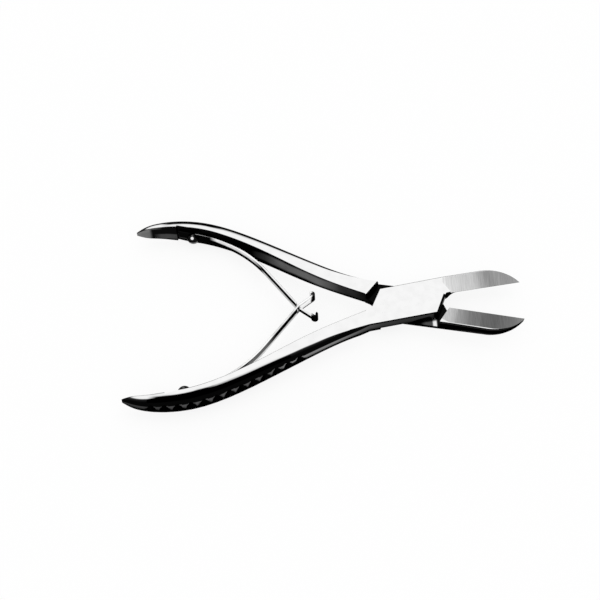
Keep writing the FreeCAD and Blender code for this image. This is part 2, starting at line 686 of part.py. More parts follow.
def cut_slot(body, height, length, width, depth, backwards=False):
    """Driver slot across a head whose face is at a height."""
    sketch = new_sketch(body, "SlotOutline", "XY_Plane", ("0", "0", height))
    draw_polygon(sketch, [
        (f"-({length})", f"-({width}) / 2"), (f"{length}", f"-({width}) / 2"),
        (f"{length}", f"({width}) / 2"), (f"-({length})", f"({width}) / 2"),
    ])
    add_pocket(body, "Slot", sketch, depth, backwards=backwards)


def build_spring_screw(name):
    """Domed slotted screw, its head's seat at Z = 0 and its shank below."""
    head, shank = "Sizes.screw_head_dia / 2", "Sizes.screw_dia / 2"
    reach = "-(Sizes.screw_reach + Sizes.leaf_thick)"
    body = build_turned(name, [
        ("0", "Sizes.screw_head_rim + Sizes.screw_dome"), ("0", reach), (shank, reach),
        (shank, "0"), (head, "0"), (head, "Sizes.screw_head_rim"),
    ], "Sizes.screw_dome")
    cut_slot(body, "Sizes.screw_head_rim + Sizes.screw_dome", "Sizes.screw_head_dia",
             "Sizes.screw_slot_width", "Sizes.screw_slot_depth")
    return body


def build_pivot_screw(name):
    """Flat-headed screw through the joint, its head flush with the underside."""
    head, shank = "Sizes.pivot_head_dia / 2", "Sizes.pivot_dia / 2"
    bottom = "-Sizes.plate_thick / 2"
    top = "Sizes.plate_thick / 2 - Sizes.pivot_cover - Sizes.pivot_end_gap"
    seat = f"{bottom} + Sizes.pivot_head_depth"
    body = build_turned(name, [
        ("0", bottom), (head, bottom), (head, seat), (shank, seat), (shank, top), ("0", top)])
    cut_slot(body, bottom, "Sizes.pivot_head_dia",
             "Sizes.pivot_slot_width", "Sizes.pivot_slot_depth", backwards=True)
    return body


DROP = "vector(0; 0; -Sizes.plate_thick / 2)"


def place_spring_screw(screw, lever):
    """Stand the screw's head on the leaf, square to the seat."""
    x, y = on_seat("0", "Sizes.leaf_thick")
    screw.setExpression("Placement", (
        f"{lever.Name}.Placement * placement(vector({x}; {y}; 0); "
        "rotation(vector(0; 0; 1); -Sizes.seat_tilt) * rotation(vector(1; 0; 0); 90))"))


def export(bodies):
    doc.recompute()
    for item in doc.Objects:
        if "Invalid" in item.State or "Error" in item.State:
            raise RuntimeError(f"{item.Label} failed: {item.State}")
    for body in bodies:
        if body.Shape.isNull() or not body.Shape.isValid() or len(body.Shape.Solids) != 1:
            raise RuntimeError(f"{body.Label} is not one valid solid")
    os.makedirs("parts", exist_ok=True)
    for body in bodies:
        body.Shape.exportStep(f"parts/{body.Label}.step")
        box = body.Shape.BoundBox
        print(f"{body.Label}: {body.Shape.Volume:.1f} mm3,"
              f" x {box.XMin:.1f} {box.XMax:.1f} y {box.YMin:.1f} {box.YMax:.1f}"
              f" z {box.ZMin:.1f} {box.ZMax:.1f}")


fill_sheet()
place_seat()

under_lever = build_lever("under_lever", ground_up=True)
cut_under_bore(under_lever)
under_lever.setExpression(
    "Placement", f"placement({DROP}; rotation(vector(0; 0; 1); -Sizes.half_open))")

over_lever = build_lever("over_lever", ground_up=False)
cut_over_bore(over_lever)
over_lever.setExpression("Placement", (
    f"placement({DROP}; rotation("
    "vector(cos(Sizes.half_open / 2); sin(Sizes.half_open / 2); 0); 180))"))

pivot_screw = build_pivot_screw("pivot_screw")
pivot_screw.setExpression("Placement", f"placement({DROP}; rotation(vector(0; 0; 1); 0))")

tongue_spring = build_leaf("tongue_spring", lip_side=1)
cut_tongue(tongue_spring)
tongue_spring.setExpression("Placement", f"{under_lever.Name}.Placement")

window_spring = build_leaf("window_spring", lip_side=-1)
cut_window(window_spring)
window_spring.setExpression("Placement", f"{over_lever.Name}.Placement")

tongue_spring_screw = build_spring_screw("tongue_spring_screw")
place_spring_screw(tongue_spring_screw, under_lever)
window_spring_screw = build_spring_screw("window_spring_screw")
place_spring_screw(window_spring_screw, over_lever)

export([under_lever, over_lever, pivot_screw, tongue_spring, window_spring,
        tongue_spring_screw, window_spring_screw])
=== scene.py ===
"""Looks of a pair of bone cutting forceps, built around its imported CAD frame."""
import logging
import math
from dataclasses import dataclass, field
from enum import Enum
from typing import Callable, Optional, Sequence

import bmesh
import bpy
from mathutils import Matrix, Vector


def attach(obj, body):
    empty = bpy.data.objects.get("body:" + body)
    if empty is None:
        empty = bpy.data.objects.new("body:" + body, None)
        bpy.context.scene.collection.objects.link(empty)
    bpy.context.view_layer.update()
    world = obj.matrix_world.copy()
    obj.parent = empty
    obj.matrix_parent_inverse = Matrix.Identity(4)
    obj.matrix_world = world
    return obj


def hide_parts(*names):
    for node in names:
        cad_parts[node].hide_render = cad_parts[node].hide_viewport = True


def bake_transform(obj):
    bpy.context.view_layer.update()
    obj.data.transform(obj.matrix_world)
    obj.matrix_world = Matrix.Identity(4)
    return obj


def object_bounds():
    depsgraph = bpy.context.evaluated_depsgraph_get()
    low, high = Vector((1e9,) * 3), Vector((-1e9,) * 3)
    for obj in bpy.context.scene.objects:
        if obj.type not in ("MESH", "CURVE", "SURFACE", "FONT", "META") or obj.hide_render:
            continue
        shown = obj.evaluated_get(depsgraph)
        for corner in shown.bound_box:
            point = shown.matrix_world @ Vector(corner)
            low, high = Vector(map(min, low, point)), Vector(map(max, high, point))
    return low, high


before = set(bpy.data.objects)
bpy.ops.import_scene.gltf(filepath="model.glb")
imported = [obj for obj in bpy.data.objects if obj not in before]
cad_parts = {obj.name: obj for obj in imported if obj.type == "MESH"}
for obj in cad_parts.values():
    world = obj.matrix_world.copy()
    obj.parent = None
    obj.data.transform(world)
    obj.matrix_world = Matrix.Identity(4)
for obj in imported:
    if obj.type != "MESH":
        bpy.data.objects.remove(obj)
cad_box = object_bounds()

log = logging.getLogger("forceps")

# Sizes are in millimetres and finishes in metres, as the finished pieces are.
MM = 0.001
# A drawing stood on the X axis by this turn has its own Y as its height.
STANDING = Matrix.Rotation(math.pi / 2, 4, "X")
EVEN = (1.0, 1.0, 1.0)
Point2 = tuple[float, float]
Point3 = tuple[float, float, float]
Stops = Sequence[tuple[float, float]]
Test = Callable[[Vector, Vector], bool]


class Cut(Enum):
    """How a tool shape works on a piece."""

    AWAY = "DIFFERENCE"
    JOIN = "UNION"


class Pick(Enum):
    """What is picked on a piece in edit mode."""

    EDGES = "EDGE"
    FACES = "FACE"


class Bench:
    """Modelling steps that all the pieces share. Lengths are in millimetres."""

    # Points within SAME of each other are one point, and those within NEAR only leave slivers.
    SAME = 1e-4
    NEAR = 0.02
    FLATS_WEIGHT = 90

    @staticmethod
    def clear() -> None:
        """Leave nothing selected."""
        bpy.ops.object.select_all(action="DESELECT")

    @staticmethod
    def take(piece: bpy.types.Object) -> None:
        """Select one piece alone and make it the active one.

        Args:
            piece: what is taken.
        """
        Bench.clear()
        piece.select_set(True)
        bpy.context.view_layer.objects.active = piece

    @staticmethod
    def rounded(corners: Sequence[Point2], radii: dict[int, float], steps: int = 4) -> list[Point2]:
        """Round some corners of a closed outline.

        Args:
            corners: the outline's corners in order.
            radii: radius of each rounded corner, by its number.
            steps: straight pieces in each round.

        Returns:
            The outline with its round corners.
        """
        outline: list[Point2] = []
        for index, corner in enumerate(corners):
            if index not in radii:
                outline.append(corner)
                continue
            here = Vector(corner)
            back = (Vector(corners[index - 1]) - here).normalized()
            ahead = (Vector(corners[(index + 1) % len(corners)]) - here).normalized()
            half = back.angle(ahead) / 2
            centre = here + (back + ahead).normalized() * radii[index] / math.sin(half)
            reach = radii[index] / math.tan(half)
            first, last = here + back * reach - centre, here + ahead * reach - centre
            turn = first.angle_signed(last)
            for step in range(steps + 1):
                spoke = first.copy()
                spoke.rotate(Matrix.Rotation(-turn * step / steps, 2))
                outline.append(tuple(centre + spoke))
        return outline

    @staticmethod
    def oblong(left: float, low: float, right: float, high: float) -> list[Point2]:
        """Corners of an oblong outline."""
        return [(left, low), (right, low), (right, high), (left, high)]

    @staticmethod
    def drawn(name: str, outlines: Sequence[Sequence[Point3]],
              fill: str = "NOTHING") -> bpy.types.Object:
        """Draw closed outlines in one new piece.

        Args:
            name: name of the new piece.
            outlines: outlines with equally many points.
            fill: Blender's name of the way that the first one is filled.

        Returns:
            The drawn piece.
        """
        Bench.clear()
        count = len(outlines[0])
        bpy.ops.mesh.primitive_circle_add(vertices=count, radius=1.0, fill_type=fill)
        piece = bpy.context.active_object
        piece.name = name
        bpy.ops.object.mode_set(mode="EDIT")
        for _ in outlines[1:]:
            bpy.ops.mesh.primitive_circle_add(vertices=count, radius=1.0)
        bpy.ops.object.mode_set(mode="OBJECT")
        places = [number for outline in outlines for point in outline for number in point]
        piece.data.vertices.foreach_set("co", places)
        return piece

    @staticmethod
    def turn_outward() -> None:
        """Turn every face of the piece in edit mode outwards, and leave edit mode."""
        bpy.ops.mesh.select_all(action="SELECT")
        bpy.ops.mesh.normals_make_consistent(inside=False)
        bpy.ops.mesh.select_mode(type="VERT")
        bpy.ops.object.mode_set(mode="OBJECT")

    @staticmethod
    def skin(name: str, rings: Sequence[Sequence[Vector]]) -> bpy.types.Object:
        """Bridge a row of rings and close both ends.

        Args:
            name: name of the new piece.
            rings: outlines with equally many points, from one end to the other.

        Returns:
            The closed piece.
        """
        piece = Bench.drawn(name, rings)
        bpy.ops.object.mode_set(mode="EDIT")
        bpy.ops.mesh.select_all(action="SELECT")
        bpy.ops.mesh.bridge_edge_loops()
        bpy.ops.mesh.select_all(action="DESELECT")
        bpy.ops.mesh.select_non_manifold()
        bpy.ops.mesh.fill_holes(sides=len(rings[0]))
        Bench.turn_outward()
        return piece

    @staticmethod
    def plate(name: str, outline: Sequence[Point2], low: float, high: float,
              place: Optional[Matrix] = None) -> bpy.types.Object:
        """Draw an outline and extrude it.

        Args:
            name: name of the new piece.
            outline: corners in the drawing plane.
            low: height of the drawing plane.
            high: height that it is extruded to.
            place: where the drawing stands, if not in plan.

        Returns:
            The closed piece.
        """
        piece = Bench.drawn(name, [[(x, y, low) for x, y in outline]], "NGON")
        bpy.ops.object.mode_set(mode="EDIT")
        bpy.ops.mesh.select_all(action="SELECT")
        bpy.ops.mesh.extrude_region_move(TRANSFORM_OT_translate={"value": (0, 0, high - low)})
        Bench.turn_outward()
        if place is not None:
            Bench.settle(piece, place)
        return piece

    @staticmethod
    def turned(name: str, profile: Sequence[Point2], steps: int) -> bpy.types.Object:
        """Spin a profile about Z.

        Args:
            name: name of the new piece.
            profile: radius and height of each point, from the axis back to the axis.
            steps: flats in a full turn.

        Returns:
            The closed piece.
        """
        piece = Bench.drawn(name, [[(radius, 0, height) for radius, height in profile]])
        Bench.pick(piece, Pick.EDGES, lambda one, two: max(one.x, two.x) > 0)
        bpy.ops.mesh.spin(steps=steps, angle=2 * math.pi, center=(0, 0, 0), axis=(0, 0, 1))
        bpy.ops.mesh.select_all(action="SELECT")
        bpy.ops.mesh.remove_doubles(threshold=Bench.SAME)
        bpy.ops.mesh.delete_loose(use_faces=False)
        Bench.turn_outward()
        return piece

    @staticmethod
    def pick(piece: bpy.types.Object, kind: Pick, wanted: Test) -> None:
        """Open a piece for editing with only some edges or faces selected.

        Args:
            piece: what is worked on.
            kind: what is picked.
            wanted: test of an edge's two ends, or of a face's middle and normal.
        """
        Bench.take(piece)
        bpy.ops.object.mode_set(mode="EDIT")
        bpy.ops.mesh.select_mode(type=kind.value)
        bpy.ops.mesh.select_all(action="DESELECT")
        mesh = bmesh.from_edit_mesh(piece.data)
        if kind is Pick.EDGES:
            found = [(edge, edge.verts[0].co, edge.verts[1].co) for edge in mesh.edges]
        else:
            found = [(face, face.calc_center_median(), face.normal) for face in mesh.faces]
        for part, first, second in found:
            if wanted(first, second):
                part.select_set(True)
        bmesh.update_edit_mesh(piece.data)

    @staticmethod
    def settle(piece: bpy.types.Object, place: Matrix) -> None:
        """Put a piece in its place, with the place in its mesh.

        Args:
            piece: what is moved.
            place: where it goes.
        """
        Bench.take(piece)
        piece.matrix_world = place
        bpy.ops.object.transform_apply(location=True, rotation=True, scale=True)

    @staticmethod
    def work(piece: bpy.types.Object, tool: bpy.types.Object, cut: Cut,
             finish: bpy.types.Material) -> None:
        """Cut a tool shape away from a piece or join it on, and use the tool up.

        Args:
            piece: what is worked on.
            tool: the shape that works on it.
            cut: whether the shape is cut away or joined.
            finish: finish of the faces that the tool leaves.
        """
        tool.data.materials.append(finish)
        Bench.take(piece)
        modifier = piece.modifiers.new("tool", "BOOLEAN")
        modifier.operation = cut.value
        modifier.solver = "EXACT"
        modifier.material_mode = "TRANSFER"
        modifier.object = tool
        bpy.ops.object.modifier_apply(modifier=modifier.name)
        bpy.data.objects.remove(tool)

    @staticmethod
    def heal(piece: bpy.types.Object) -> None:
        """Merge the points of a piece that lie almost on each other.

        Args:
            piece: what is healed.
        """
        Bench.take(piece)
        bpy.ops.object.mode_set(mode="EDIT")
        bpy.ops.mesh.select_mode(type="VERT")
        bpy.ops.mesh.select_all(action="SELECT")
        bpy.ops.mesh.remove_doubles(threshold=Bench.NEAR)
        bpy.ops.mesh.dissolve_degenerate(threshold=Bench.NEAR / 2)
        bpy.ops.object.mode_set(mode="OBJECT")

    @staticmethod
    def bevel(piece: bpy.types.Object, wanted: Test, width: float, steps: int) -> None:
        """Round some edges.

        Args:
            piece: what is worked on.
            wanted: test of an edge's two ends.
            width: size of the round.
            steps: flats across the round.
        """
        Bench.pick(piece, Pick.EDGES, wanted)
        bpy.ops.mesh.bevel(offset=width, segments=steps, affect="EDGES", clamp_overlap=True)
        bpy.ops.mesh.select_mode(type="VERT")
        bpy.ops.object.mode_set(mode="OBJECT")

    @staticmethod
    def dress(piece: bpy.types.Object, finish: bpy.types.Material, wanted: Test) -> None:
        """Give some faces another finish.

        Args:
            piece: what is dressed.
            finish: the other finish.
            wanted: test of a face's middle and normal.
        """
        piece.data.materials.append(finish)
        piece.active_material_index = len(piece.data.materials) - 1
        Bench.pick(piece, Pick.FACES, wanted)
        bpy.ops.object.material_slot_assign()
        bpy.ops.mesh.select_mode(type="VERT")
        bpy.ops.object.mode_set(mode="OBJECT")

    @staticmethod
    def smooth(piece: bpy.types.Object, degrees: float) -> None:
        """Shade a piece smooth up to an angle between faces, its large faces flat.

        Args:
            piece: what is shaded.
            degrees: largest angle that is smoothed over.
        """
        Bench.take(piece)
        bpy.ops.object.shade_smooth_by_angle(angle=math.radians(degrees))
        modifier = piece.modifiers.new("flats", "WEIGHTED_NORMAL")
        modifier.weight = Bench.FLATS_WEIGHT
        modifier.keep_sharp = True
        bpy.ops.object.modifier_apply(modifier=modifier.name)


class Board:
    """Nodes of one material, laid out one after the other."""

    WAVE_DETAIL = 3.0
    CLOUD_DETAIL = 4.0

    def __init__(self, name: str) -> None:
        """Start a material that has only its output and shader.

        Args:
            name: name of the material.
        """
        self.material = bpy.data.materials.new(name)
        self.material.use_nodes = True
        self.tree = self.material.node_tree
        self.tree.nodes.clear()
        self.output = self.node("ShaderNodeOutputMaterial")
        self.shader = self.node("ShaderNodeBsdfPrincipled")
        self.join(self.shader, "BSDF", self.output, "Surface")

    def node(self, kind: str, **settings: object) -> bpy.types.Node:
        """Add a node.

        Args:
            kind: Blender's name of the node type.
            settings: the node's own settings.

        Returns:
            The new node.
        """
        node = self.tree.nodes.new(kind)
        for name, value in settings.items():
            setattr(node, name, value)
        return node

    def join(self, start: bpy.types.Node, output: object, end: bpy.types.Node,
             socket: object) -> None:
        """Link one node's output to another's input."""
        self.tree.links.new(start.outputs[output], end.inputs[socket])

    def sum(self, operation: str, *terms: object) -> bpy.types.Node:
        """Add a maths node.

        Args:
            operation: Blender's name of the operation.
            terms: a number, or a node and its output's name, for each input.

        Returns:
            The new node.
        """
        node = self.node("ShaderNodeMath", operation=operation)
        for index, term in enumerate(terms):
            if isinstance(term, tuple):
                self.join(term[0], term[1], node, index)
            else:
                node.inputs[index].default_value = term
        return node

    def ramp(self, source: tuple, stops: Stops, smooth: bool = False) -> bpy.types.Node:
        """Add a grey ramp.

        Args:
            source: node and output that drive it.
            stops: place and grey of each stop, both from 0 to 1.
            smooth: whether greys ease into each other.

        Returns:
            The ramp.
        """
        node = self.node("ShaderNodeValToRGB")
        node.color_ramp.interpolation = "EASE" if smooth else "LINEAR"
        elements = node.color_ramp.elements
        while len(elements) > 1:
            elements.remove(elements[-1])
        for index, (place, grey) in enumerate(stops):
            element = elements[0] if index == 0 else elements.new(place)
            element.position = place
            element.color = (grey, grey, grey, 1.0)
        self.join(source[0], source[1], node, "Fac")
        return node

    def span(self, source: tuple, low: float, high: float) -> bpy.types.Node:
        """Bring a value's stretch from low to high to 0 to 1."""
        return self.sum("MULTIPLY_ADD", source, 1 / (high - low), -low / (high - low))

    def parts(self, source: str) -> bpy.types.Node:
        """Add the X, Y and Z of a texture coordinate, such as Object or Normal.

        Args:
            source: Blender's name of the coordinate.

        Returns:
            The node that splits it.
        """
        split = self.node("ShaderNodeSeparateXYZ")
        self.join(self.node("ShaderNodeTexCoord"), source, split, "Vector")
        return split

    def towards(self, source: str, way: Point3) -> bpy.types.Node:
        """Add how far a texture coordinate reaches along a way in space.

        Args:
            source: Blender's name of the coordinate.
            way: the way, of length 1.

        Returns:
            The node of the reach.
        """
        node = self.node("ShaderNodeVectorMath", operation="DOT_PRODUCT")
        node.inputs[1].default_value = way
        self.join(self.node("ShaderNodeTexCoord"), source, node, 0)
        return node

    def mix(self, blend: str, first: bpy.types.Node, second: bpy.types.Node,
            share: Optional[bpy.types.Node] = None) -> bpy.types.Node:
        """Blend the colours of two nodes.

        Args:
            blend: Blender's name of the blend.
            first: node under the blend.
            second: node on top of it.
            share: ramp that gives the blend's share, if it isn't whole.

        Returns:
            The mix node.
        """
        node = self.node("ShaderNodeMix", data_type="RGBA", blend_type=blend)
        node.inputs["Factor"].default_value = 1.0
        if share is not None:
            self.join(share, "Color", node, "Factor")
        for source, socket in ((first, 6), (second, 7)):
            name = 2 if source.bl_idname == "ShaderNodeMix" else 0
            self.tree.links.new(source.outputs[name], node.inputs[socket])
        return node

    def colour(self, mixed: bpy.types.Node) -> None:
        """Give the shader its base colour from a mix."""
        self.tree.links.new(mixed.outputs[2], self.shader.inputs["Base Color"])

    def noise(self, stretch: Point3, scale: float, detail: float,
              turn: float = 0.0) -> bpy.types.Node:
        """Add noise on the piece's own coordinates.

        Args:
            stretch: scale along each axis.
            scale: scale of the noise, per metre.
            detail: octaves.
            turn: turn of the pattern about Z, in degrees.

        Returns:
            The noise node.
        """
        mapping = self.node("ShaderNodeMapping")
        mapping.inputs["Scale"].default_value = stretch
        mapping.inputs["Rotation"].default_value = (0, 0, math.radians(turn))
        noise = self.node("ShaderNodeTexNoise")
        noise.inputs["Scale"].default_value = scale
        noise.inputs["Detail"].default_value = detail
        self.join(self.node("ShaderNodeTexCoord"), "Object", mapping, "Vector")
        self.join(mapping, "Vector", noise, "Vector")
        return noise

    def waved(self, source: tuple, size: float, scale: float, stretch: Point3 = EVEN,
              turn: float = 0.0) -> bpy.types.Node:
        """Add a small noise to a value, so that no edge of a finish is ruled.

        Args:
            source: node and output of the value.
            size: how far the value sways in all.
            scale: scale of the noise, per metre.
            stretch: scale of the noise along each axis.
            turn: turn of the noise about Z, in degrees.

        Returns:
            The node of the swaying value.
        """
        wave = self.noise(stretch, scale, self.WAVE_DETAIL, turn)
        sway = self.sum("MULTIPLY_ADD", (wave, "Fac"), size, -size / 2)
        return self.sum("ADD", source, (sway, 0))

    def tint(self, grey: bpy.types.Node, low: float, scale: float) -> None:
        """Colour the shader by a grey with a faint cloud over it.

        Args:
            grey: node that gives the grey.
            low: darkest factor of the cloud.
            scale: scale of the cloud, per metre.
        """
        cloud = self.noise(EVEN, scale, self.CLOUD_DETAIL)
        veil = self.ramp((cloud, "Fac"), ((0.32, low), (0.58, 1.0)))
        self.colour(self.mix("MULTIPLY", grey, veil))


@dataclass(frozen=True)
class Grain:
    """Fine surface of a steel: least and most roughness, and its scratches."""

    rough: tuple[float, float]
    scratches: Point3
    depth: float
    turn: float = 0.0
    detail: float = 5.0
    bump_distance: float = 0.0002
    grazing_grey: float = 0.36

    def give(self, board: Board) -> None:
        """Give a material's shader its metal, its roughness and its scratches.

        Args:
            board: the material.
        """
        shader, grey = board.shader, self.grazing_grey
        shader.inputs["Metallic"].default_value = 1.0
        shader.inputs["Specular Tint"].default_value = (grey, grey, grey, 1.0)
        fine = board.noise(self.scratches, 1.0, self.detail, self.turn)
        roughness = board.ramp((fine, "Fac"), ((0.3, self.rough[0]), (0.7, self.rough[1])))
        board.join(roughness, "Color", shader, "Roughness")
        bump = board.node("ShaderNodeBump")
        bump.inputs["Strength"].default_value = self.depth
        bump.inputs["Distance"].default_value = self.bump_distance
        board.join(fine, "Fac", bump, "Height")
        board.join(bump, "Normal", shader, "Normal")


@dataclass(frozen=True)
class LightOverlay:
    """Painted highlight that is added, and painted shade that is taken away, over a painted
    reflection: by the normal's height, and by the way along X.
    """

    blend: str
    stops: Stops
    along: Stops
    rear: float = -0.120
    front: float = 0.0


@dataclass(frozen=True)
class ReflectionPaintedSteel:
    """Polished steel with its reflection painted in: bright where a face looks up or down, dark
    where it rolls over.
    """

    name: str
    stops: Stops
    far_stops: Optional[Stops] = None
    light_overlays: Sequence[LightOverlay] = ()
    # Painted glint: a white dot where the normal looks this way.
    glint_way: Optional[Point3] = None
    glint_stops: Stops = ((0.0, 0.0), (0.965, 0.0), (0.982, 0.9))
    far_share: Stops = ((0.10, 0.0), (0.35, 1.0))
    wave_size: float = 0.008
    wave_scale: float = 110.0
    cloud_low: float = 0.95
    cloud_scale: float = 240.0
    grain: Grain = Grain((0.08, 0.18), (300.0, 2600.0, 2600.0), 0.02)

    def make(self) -> bpy.types.Material:
        """Build the material with its reflection painted by the normal; a stop's place is half the
        normal's Z plus a half.

        Returns:
            The material.
        """
        board = Board(self.name)
        normal = board.parts("Normal")
        height = board.sum("MULTIPLY_ADD", (normal, "Z"), 0.5, 0.5)
        total = board.waved((height, 0), self.wave_size, self.wave_scale)
        grey = board.ramp((total, 0), self.stops)
        if self.far_stops is not None:
            share = board.ramp((normal, "Y"), self.far_share)
            grey = board.mix("MIX", grey, board.ramp((total, 0), self.far_stops), share)
        place = board.parts("Object")
        for overlay in self.light_overlays:
            along = board.span((place, "X"), overlay.rear, overlay.front)
            lengthwise = board.ramp((along, 0), overlay.along)
            upright = board.ramp((total, 0), overlay.stops)
            grey = board.mix(overlay.blend, grey, board.mix("MULTIPLY", lengthwise, upright))
        # A painted glint where the normal looks along one way.
        if self.glint_way is not None:
            glint_way = board.towards("Normal", Vector(self.glint_way).normalized())
            grey = board.mix("ADD", grey, board.ramp((glint_way, "Value"), self.glint_stops))
        board.tint(grey, self.cloud_low, self.cloud_scale)
        self.grain.give(board)
        return board.material


@dataclass(frozen=True)
class LightBand:
    """Painted band of reflected light on a side face: how it runs along X, and across Z."""

    along: Stops
    across: Stops


@dataclass(frozen=True)
class SideLightSteel:
    """Side face of polished steel with its light painted: nearly black, with the painted bands of
    reflected light that lie along it.
    """

    name: str
    bands: Sequence[LightBand]
    rear: float = -0.120
    front: float = 0.0
    low: float = -0.0084
    high: float = 0.002
    base: float = 0.005
    top_highlight_along: Stops = ((0.0, 0.0),)
    facing_stops: Stops = ((0.0, 0.0), (0.70, 0.0), (0.92, 1.0))
    wave_size: float = 0.0016
    wave_scale: float = 90.0
    cloud_low: float = 0.75
    cloud_scale: float = 160.0
    grain: Grain = Grain((0.10, 0.22), (300.0, 2600.0, 2600.0), 0.02)

    def make(self) -> bpy.types.Material:
        """Build the material; the painted bands of light are added up, and a face that looks up
        gets its own painted highlight.

        Returns:
            The material.
        """
        board = Board(self.name)
        place = board.parts("Object")
        height = board.waved((place, "Z"), self.wave_size, self.wave_scale)
        across = board.span((height, 0), self.low, self.high)
        along = board.span((place, "X"), self.rear, self.front)
        facing = board.sum("ABSOLUTE", (board.parts("Normal"), "Z"))
        facing_up = board.ramp((facing, 0), self.facing_stops)
        top = board.mix("MULTIPLY", board.ramp((along, 0), self.top_highlight_along), facing_up)
        # A ramp of one stop gives its grey all over.
        total = board.mix("ADD", board.ramp((facing, 0), ((0.0, self.base),)), top)
        for band in self.bands:
            lengthwise = board.ramp((along, 0), band.along)
            crosswise = board.ramp((across, 0), band.across)
            total = board.mix("ADD", total, board.mix("MULTIPLY", lengthwise, crosswise))
        board.tint(total, self.cloud_low, self.cloud_scale)
        self.grain.give(board)
        return board.material


def strip(rear: float, front: float, fade: float, grey: float) -> Stops:
    """Stops of a band that is grey from rear to front and fades outside.

    Args:
        rear: share of the length where it starts.
        front: share of the length where it ends.
        fade: length of the fade at each end.
        grey: grey of the band.

    Returns:
        The stops.
    """
    return ((rear - fade, 0.0), (rear, grey), (front, grey), (front + fade, 0.0))


@dataclass(frozen=True)
class GroundSteel:
    """Satin face of a blade, ground across its length: the grind's grey with a painted reflection
    that changes along the blade, and real grinding streaks across it.
    """

    name: str
    turn: float
    stops: Stops
    rear: float = 0.020
    front: float = 0.056
    wave_size: float = 0.004
    wave_scale: float = 420.0
    wave_stretch: Point3 = (1.0, 0.12, 1.0)
    streak: float = 0.22
    streak_scale: float = 2600.0
    streak_stretch: Point3 = (1.0, 0.03, 0.4)
    rough: tuple[float, float] = (0.26, 0.42)
    scratches: Point3 = (5200.0, 160.0, 900.0)
    depth: float = 0.10

    def make(self) -> bpy.types.Material:
        """Build the material; the greys of the painted reflection run along the blade, the grinding
        streaks across it.

        Returns:
            The material.
        """
        board = Board(self.name)
        angle = math.radians(self.turn)
        way = board.towards("Object", (math.cos(angle), math.sin(angle), 0.0))
        shifted = board.waved((way, "Value"), self.wave_size, self.wave_scale,
                              self.wave_stretch, -self.turn)
        along = board.span((shifted, 0), self.rear, self.front)
        grey = board.ramp((along, 0), self.stops, smooth=True)
        lines = board.noise(self.streak_stretch, self.streak_scale, board.CLOUD_DETAIL, -self.turn)
        streaks = board.ramp((lines, "Fac"), ((0.30, 1.0 - self.streak), (0.62, 1.0)))
        board.colour(board.mix("MULTIPLY", grey, streaks))
        Grain(self.rough, self.scratches, self.depth, -self.turn).give(board)
        return board.material


# Painted reflection of the levers, the far faces with their own painted streaks: a stop is half the
# normal's Z plus a half, and the grey there.
LEVER_REFLECTION_STOPS = ((0.000, 0.86), (0.040, 0.86), (0.120, 0.002), (0.900, 0.002), (0.955, 0.010),
               (0.972, 0.06), (0.984, 0.88), (1.000, 0.93))
FAR_REFLECTION_STOPS = ((0.000, 0.86), (0.040, 0.86), (0.120, 0.03), (0.300, 0.01), (0.360, 0.40),
             (0.460, 0.60), (0.520, 0.12), (0.620, 0.02), (0.700, 0.30), (0.740, 0.02),
             (0.900, 0.006), (0.955, 0.015), (0.972, 0.06), (0.984, 0.88), (1.000, 0.93))
# Painted highlight: a grey streak along the middle of the levers' rounded sides.
HIGHLIGHT_STREAK = LightOverlay("ADD", ((0.512, 0.0), (0.560, 0.12), (0.620, 0.21), (0.702, 0.24), (0.722, 0.0)),
                 ((0.02, 0.16), (0.14, 0.20), (0.25, 0.38), (0.55, 0.44), (0.59, 0.95),
                  (0.76, 0.95), (0.855, 0.36), (0.93, 0.17), (1.00, 0.12)))
# Painted shade: a dark line where the handles' backs roll over from the top, towards the grips.
SHADE = LightOverlay("SUBTRACT", ((0.880, 0.0), (0.900, 1.0), (0.9910, 1.0), (0.9965, 0.0)),
                ((0.10, 0.0), (0.135, 1.0), (0.30, 1.0), (0.34, 0.45), (0.45, 0.20), (0.60, 0.0)))
# Painted highlight: a faint grey band along the middle of the blades' sides.
BLADE_SIDE_HIGHLIGHT = LightOverlay("ADD", ((0.32, 0.0), (0.38, 0.035), (0.46, 0.035), (0.49, 0.0)),
                     ((0.34, 0.0), (0.42, 1.0), (0.84, 1.0), (0.92, 0.0)), rear=0.0, front=0.060)
# Painted shade for cut faces, grooves, holes and slots: near black, with a painted white reflection
# only where a face looks straight up or down.
RECESS_SHADOW_STOPS = ((0.000, 0.80), (0.020, 0.80), (0.060, 0.005), (0.940, 0.005), (0.980, 0.80),
              (1.000, 0.85))
# Painted reflection of the screws, and below it the way that their painted glint faces.
SCREW_REFLECTION_STOPS = ((0.000, 0.60), (0.080, 0.30), (0.200, 0.01), (0.300, 0.20), (0.400, 0.35),
               (0.470, 0.03), (0.560, 0.006), (0.985, 0.010), (1.000, 0.10))
SCREW_GLINT_WAY = (-0.10, -0.75, 0.65)
# Greys along a ground blade, as shares of its finish's length from its root: the grind's own grey
# with a painted reflection that darkens towards the tip.
UPPER_REFLECTION_GREYS = ((0.00, 0.95), (0.06, 0.85), (0.12, 0.72), (0.27, 0.66), (0.37, 0.64), (0.42, 0.54),
               (0.48, 0.45), (0.60, 0.31), (0.70, 0.37), (0.79, 0.33), (0.90, 0.36), (1.00, 0.32))
LOWER_REFLECTION_GREYS = ((0.00, 0.64), (0.07, 0.60), (0.12, 0.50), (0.17, 0.35), (0.27, 0.27), (0.32, 0.21),
               (0.42, 0.20), (0.48, 0.15), (0.60, 0.14), (0.72, 0.17), (0.79, 0.19), (0.92, 0.24),
               (1.00, 0.22))
# Places along and across a band are shares of its finish's length and height.
LOW_ZONE = ((0.30, 1.0), (0.46, 1.0), (0.52, 0.0))
HIGH_ZONE = ((0.50, 0.0), (0.56, 1.0), (0.80, 1.0))
